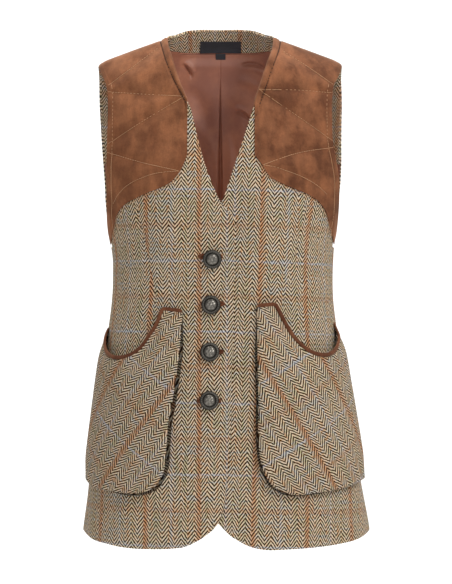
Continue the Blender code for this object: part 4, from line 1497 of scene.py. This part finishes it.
def make_stage():
    """A pale floor that curves up behind the object. It is clear from behind."""
    material, tree, _ = new_material("pale_floor", Roughness=0.9, Base_Color=(0.93, 0.93, 0.93, 1))
    clear_behind = tree.nodes.new("ShaderNodeMixShader")
    for place, kind, output in (
        (0, "ShaderNodeNewGeometry", "Backfacing"),
        (2, "ShaderNodeBsdfTransparent", "BSDF"),
    ):
        tree.links.new(tree.nodes.new(kind).outputs[output], clear_behind.inputs[place])
    tree.links.new(tree.nodes["Principled BSDF"].outputs[0], clear_behind.inputs[1])
    tree.links.new(clear_behind.outputs[0], tree.nodes["Material Output"].inputs["Surface"])
    half_wide, start, radius, rise, low = 9.0, 2.475, 1.4, 6.0, -1.25
    angles = np.linspace(0, math.pi / 2, 16)
    bend = [(start + radius * math.sin(a), low + radius * (1 - math.cos(a))) for a in angles]
    section = [(-8.0, low), (-2.0, low), *bend, (start + radius, low + rise)]
    points = [(x, y, z) for y, z in section for x in (-half_wide, half_wide)]
    mesh = bpy.data.meshes.new("floor")
    mesh.from_pydata(points, [], quads(np.arange(len(points)).reshape(-1, 2)).tolist())
    mesh.materials.append(material)
    mesh.shade_smooth()
    link("floor", mesh)


def make_light(name, place, aim, size, power):
    data = bpy.data.lights.new(name, "AREA")
    data.shape, data.size, data.energy = "DISK", size, power
    lamp = link(name, data)
    lamp.location = place
    lamp.rotation_euler = (Vector(aim) - Vector(place)).to_track_quat("-Z", "Y").to_euler()


def make_lights():
    world = bpy.data.worlds.new("soft_studio")
    world.use_nodes = True
    feed(world.node_tree, world.node_tree.nodes["Background"].inputs, Color=WHITE, Strength=0.46)
    bpy.context.scene.world = world
    make_light("key", (1.7, -2.3, 1.4), (0, 0, -0.35), 1.1, 54)
    make_light("fill", (-0.6, -3.6, 0.6), (0, 0, -0.30), 1.6, 16)
    make_light("top", (0.0, 0.4, 2.2), (0, 0, -0.2), 1.6, 14)
    make_light("backdrop", (0.0, 0.6, 2.6), (0, 3.6, -0.4), 3.0, 130)


def make_camera():
    data = bpy.data.cameras.new("camera")
    data.sensor_width, data.lens = 36, 145.5
    camera = link("camera", data)
    camera.location = (0.0079, -3.4, -0.368)
    camera.rotation_euler = (math.pi / 2, 0, 0)
    bpy.context.scene.camera = camera


def main():
    make_camera()
    make_lights()
    make_stage()
    bpy.context.scene.view_settings.view_transform = "Standard"
    for name, make_group in (
        ("herringbone", herringbone_group),
        ("overcheck", overcheck_group),
        ("mottle", mottle_group),
        ("yarns", yarn_group),
    ):
        GROUPS[name] = make_group()
    tweed = tweed_material("herringbone_tweed")
    left_tweed = tweed_material("left_front_tweed", math.radians(1.7), first_column=0.0660)
    pocket_tweed = {
        "right": tweed_material(
            "right_pocket_tweed", math.radians(37), (0.030, 0.020), tone_and_painted_light=0.90, Stroke_Pitch=0.0055
        ),
        "left": tweed_material(
            "left_pocket_tweed", math.radians(-31), (0.010, 0.030), tone_and_painted_light=0.93, Stroke_Pitch=0.0057
        ),
    }
    # The bellows' tweed is made five times darker: painted shade for the fold beneath the pocket
    # face.
    painted_shade_bellows_tweed = tweed_material("painted_shade_bellows_tweed", 0.4, tone_and_painted_light=0.20)
    # The facings' tweed is made brighter: painted light on the inside of the neck and armholes,
    # which lie in shade.
    painted_light_facing_tweed = tweed_material(
        "painted_light_facing_tweed", tone_and_painted_light=1.16, Stroke_Pitch=0.0050, Column_Width=0.0080
    )
    suedes = {
        "right": suede_material("tan_suede", (0.255, 0.095, 0.038), (0.150, 0.052, 0.021)),
        "left": suede_material("darker_tan_suede", (0.232, 0.085, 0.034), (0.110, 0.037, 0.015)),
    }
    trim = suede_material("trim_suede", (0.160, 0.056, 0.024), (0.092, 0.029, 0.013))
    lining = lining_material("brown_lining")
    thread = thread_material("tan_thread", (0.47, 0.25, 0.12))
    # A real seam thread, made dark and without sheen so that it paints the seam groove's shadow.
    seam_shadow_thread = thread_material("seam_shadow_thread", (0.060, 0.022, 0.010), 0.0)
    label = label_material("bare_label", (0.012, 0.013, 0.020))
    make_fronts({"right": tweed, "left": left_tweed}, lining)
    make_back(tweed, lining)
    make_patches(suedes, thread, seam_shadow_thread)
    facing = make_neck_facing(painted_light_facing_tweed)
    make_neck_piping(lining)
    make_armhole_facings(painted_light_facing_tweed)
    make_lining(lining, facing)
    make_seam_tapes(lining)
    make_pockets(pocket_tweed, tweed, painted_shade_bellows_tweed, trim)
    make_buttonholes(trim)
    make_buttons(pewter_material("antique_pewter"))
    make_label("bare_neck_label", "neck_label", label, 0.0315, 0.0050, -0.0130, 0.0008)
    make_label("bare_size_tab", "size_tab", label, 0.0075, -0.0140, -0.0230, 0.0006)


main()
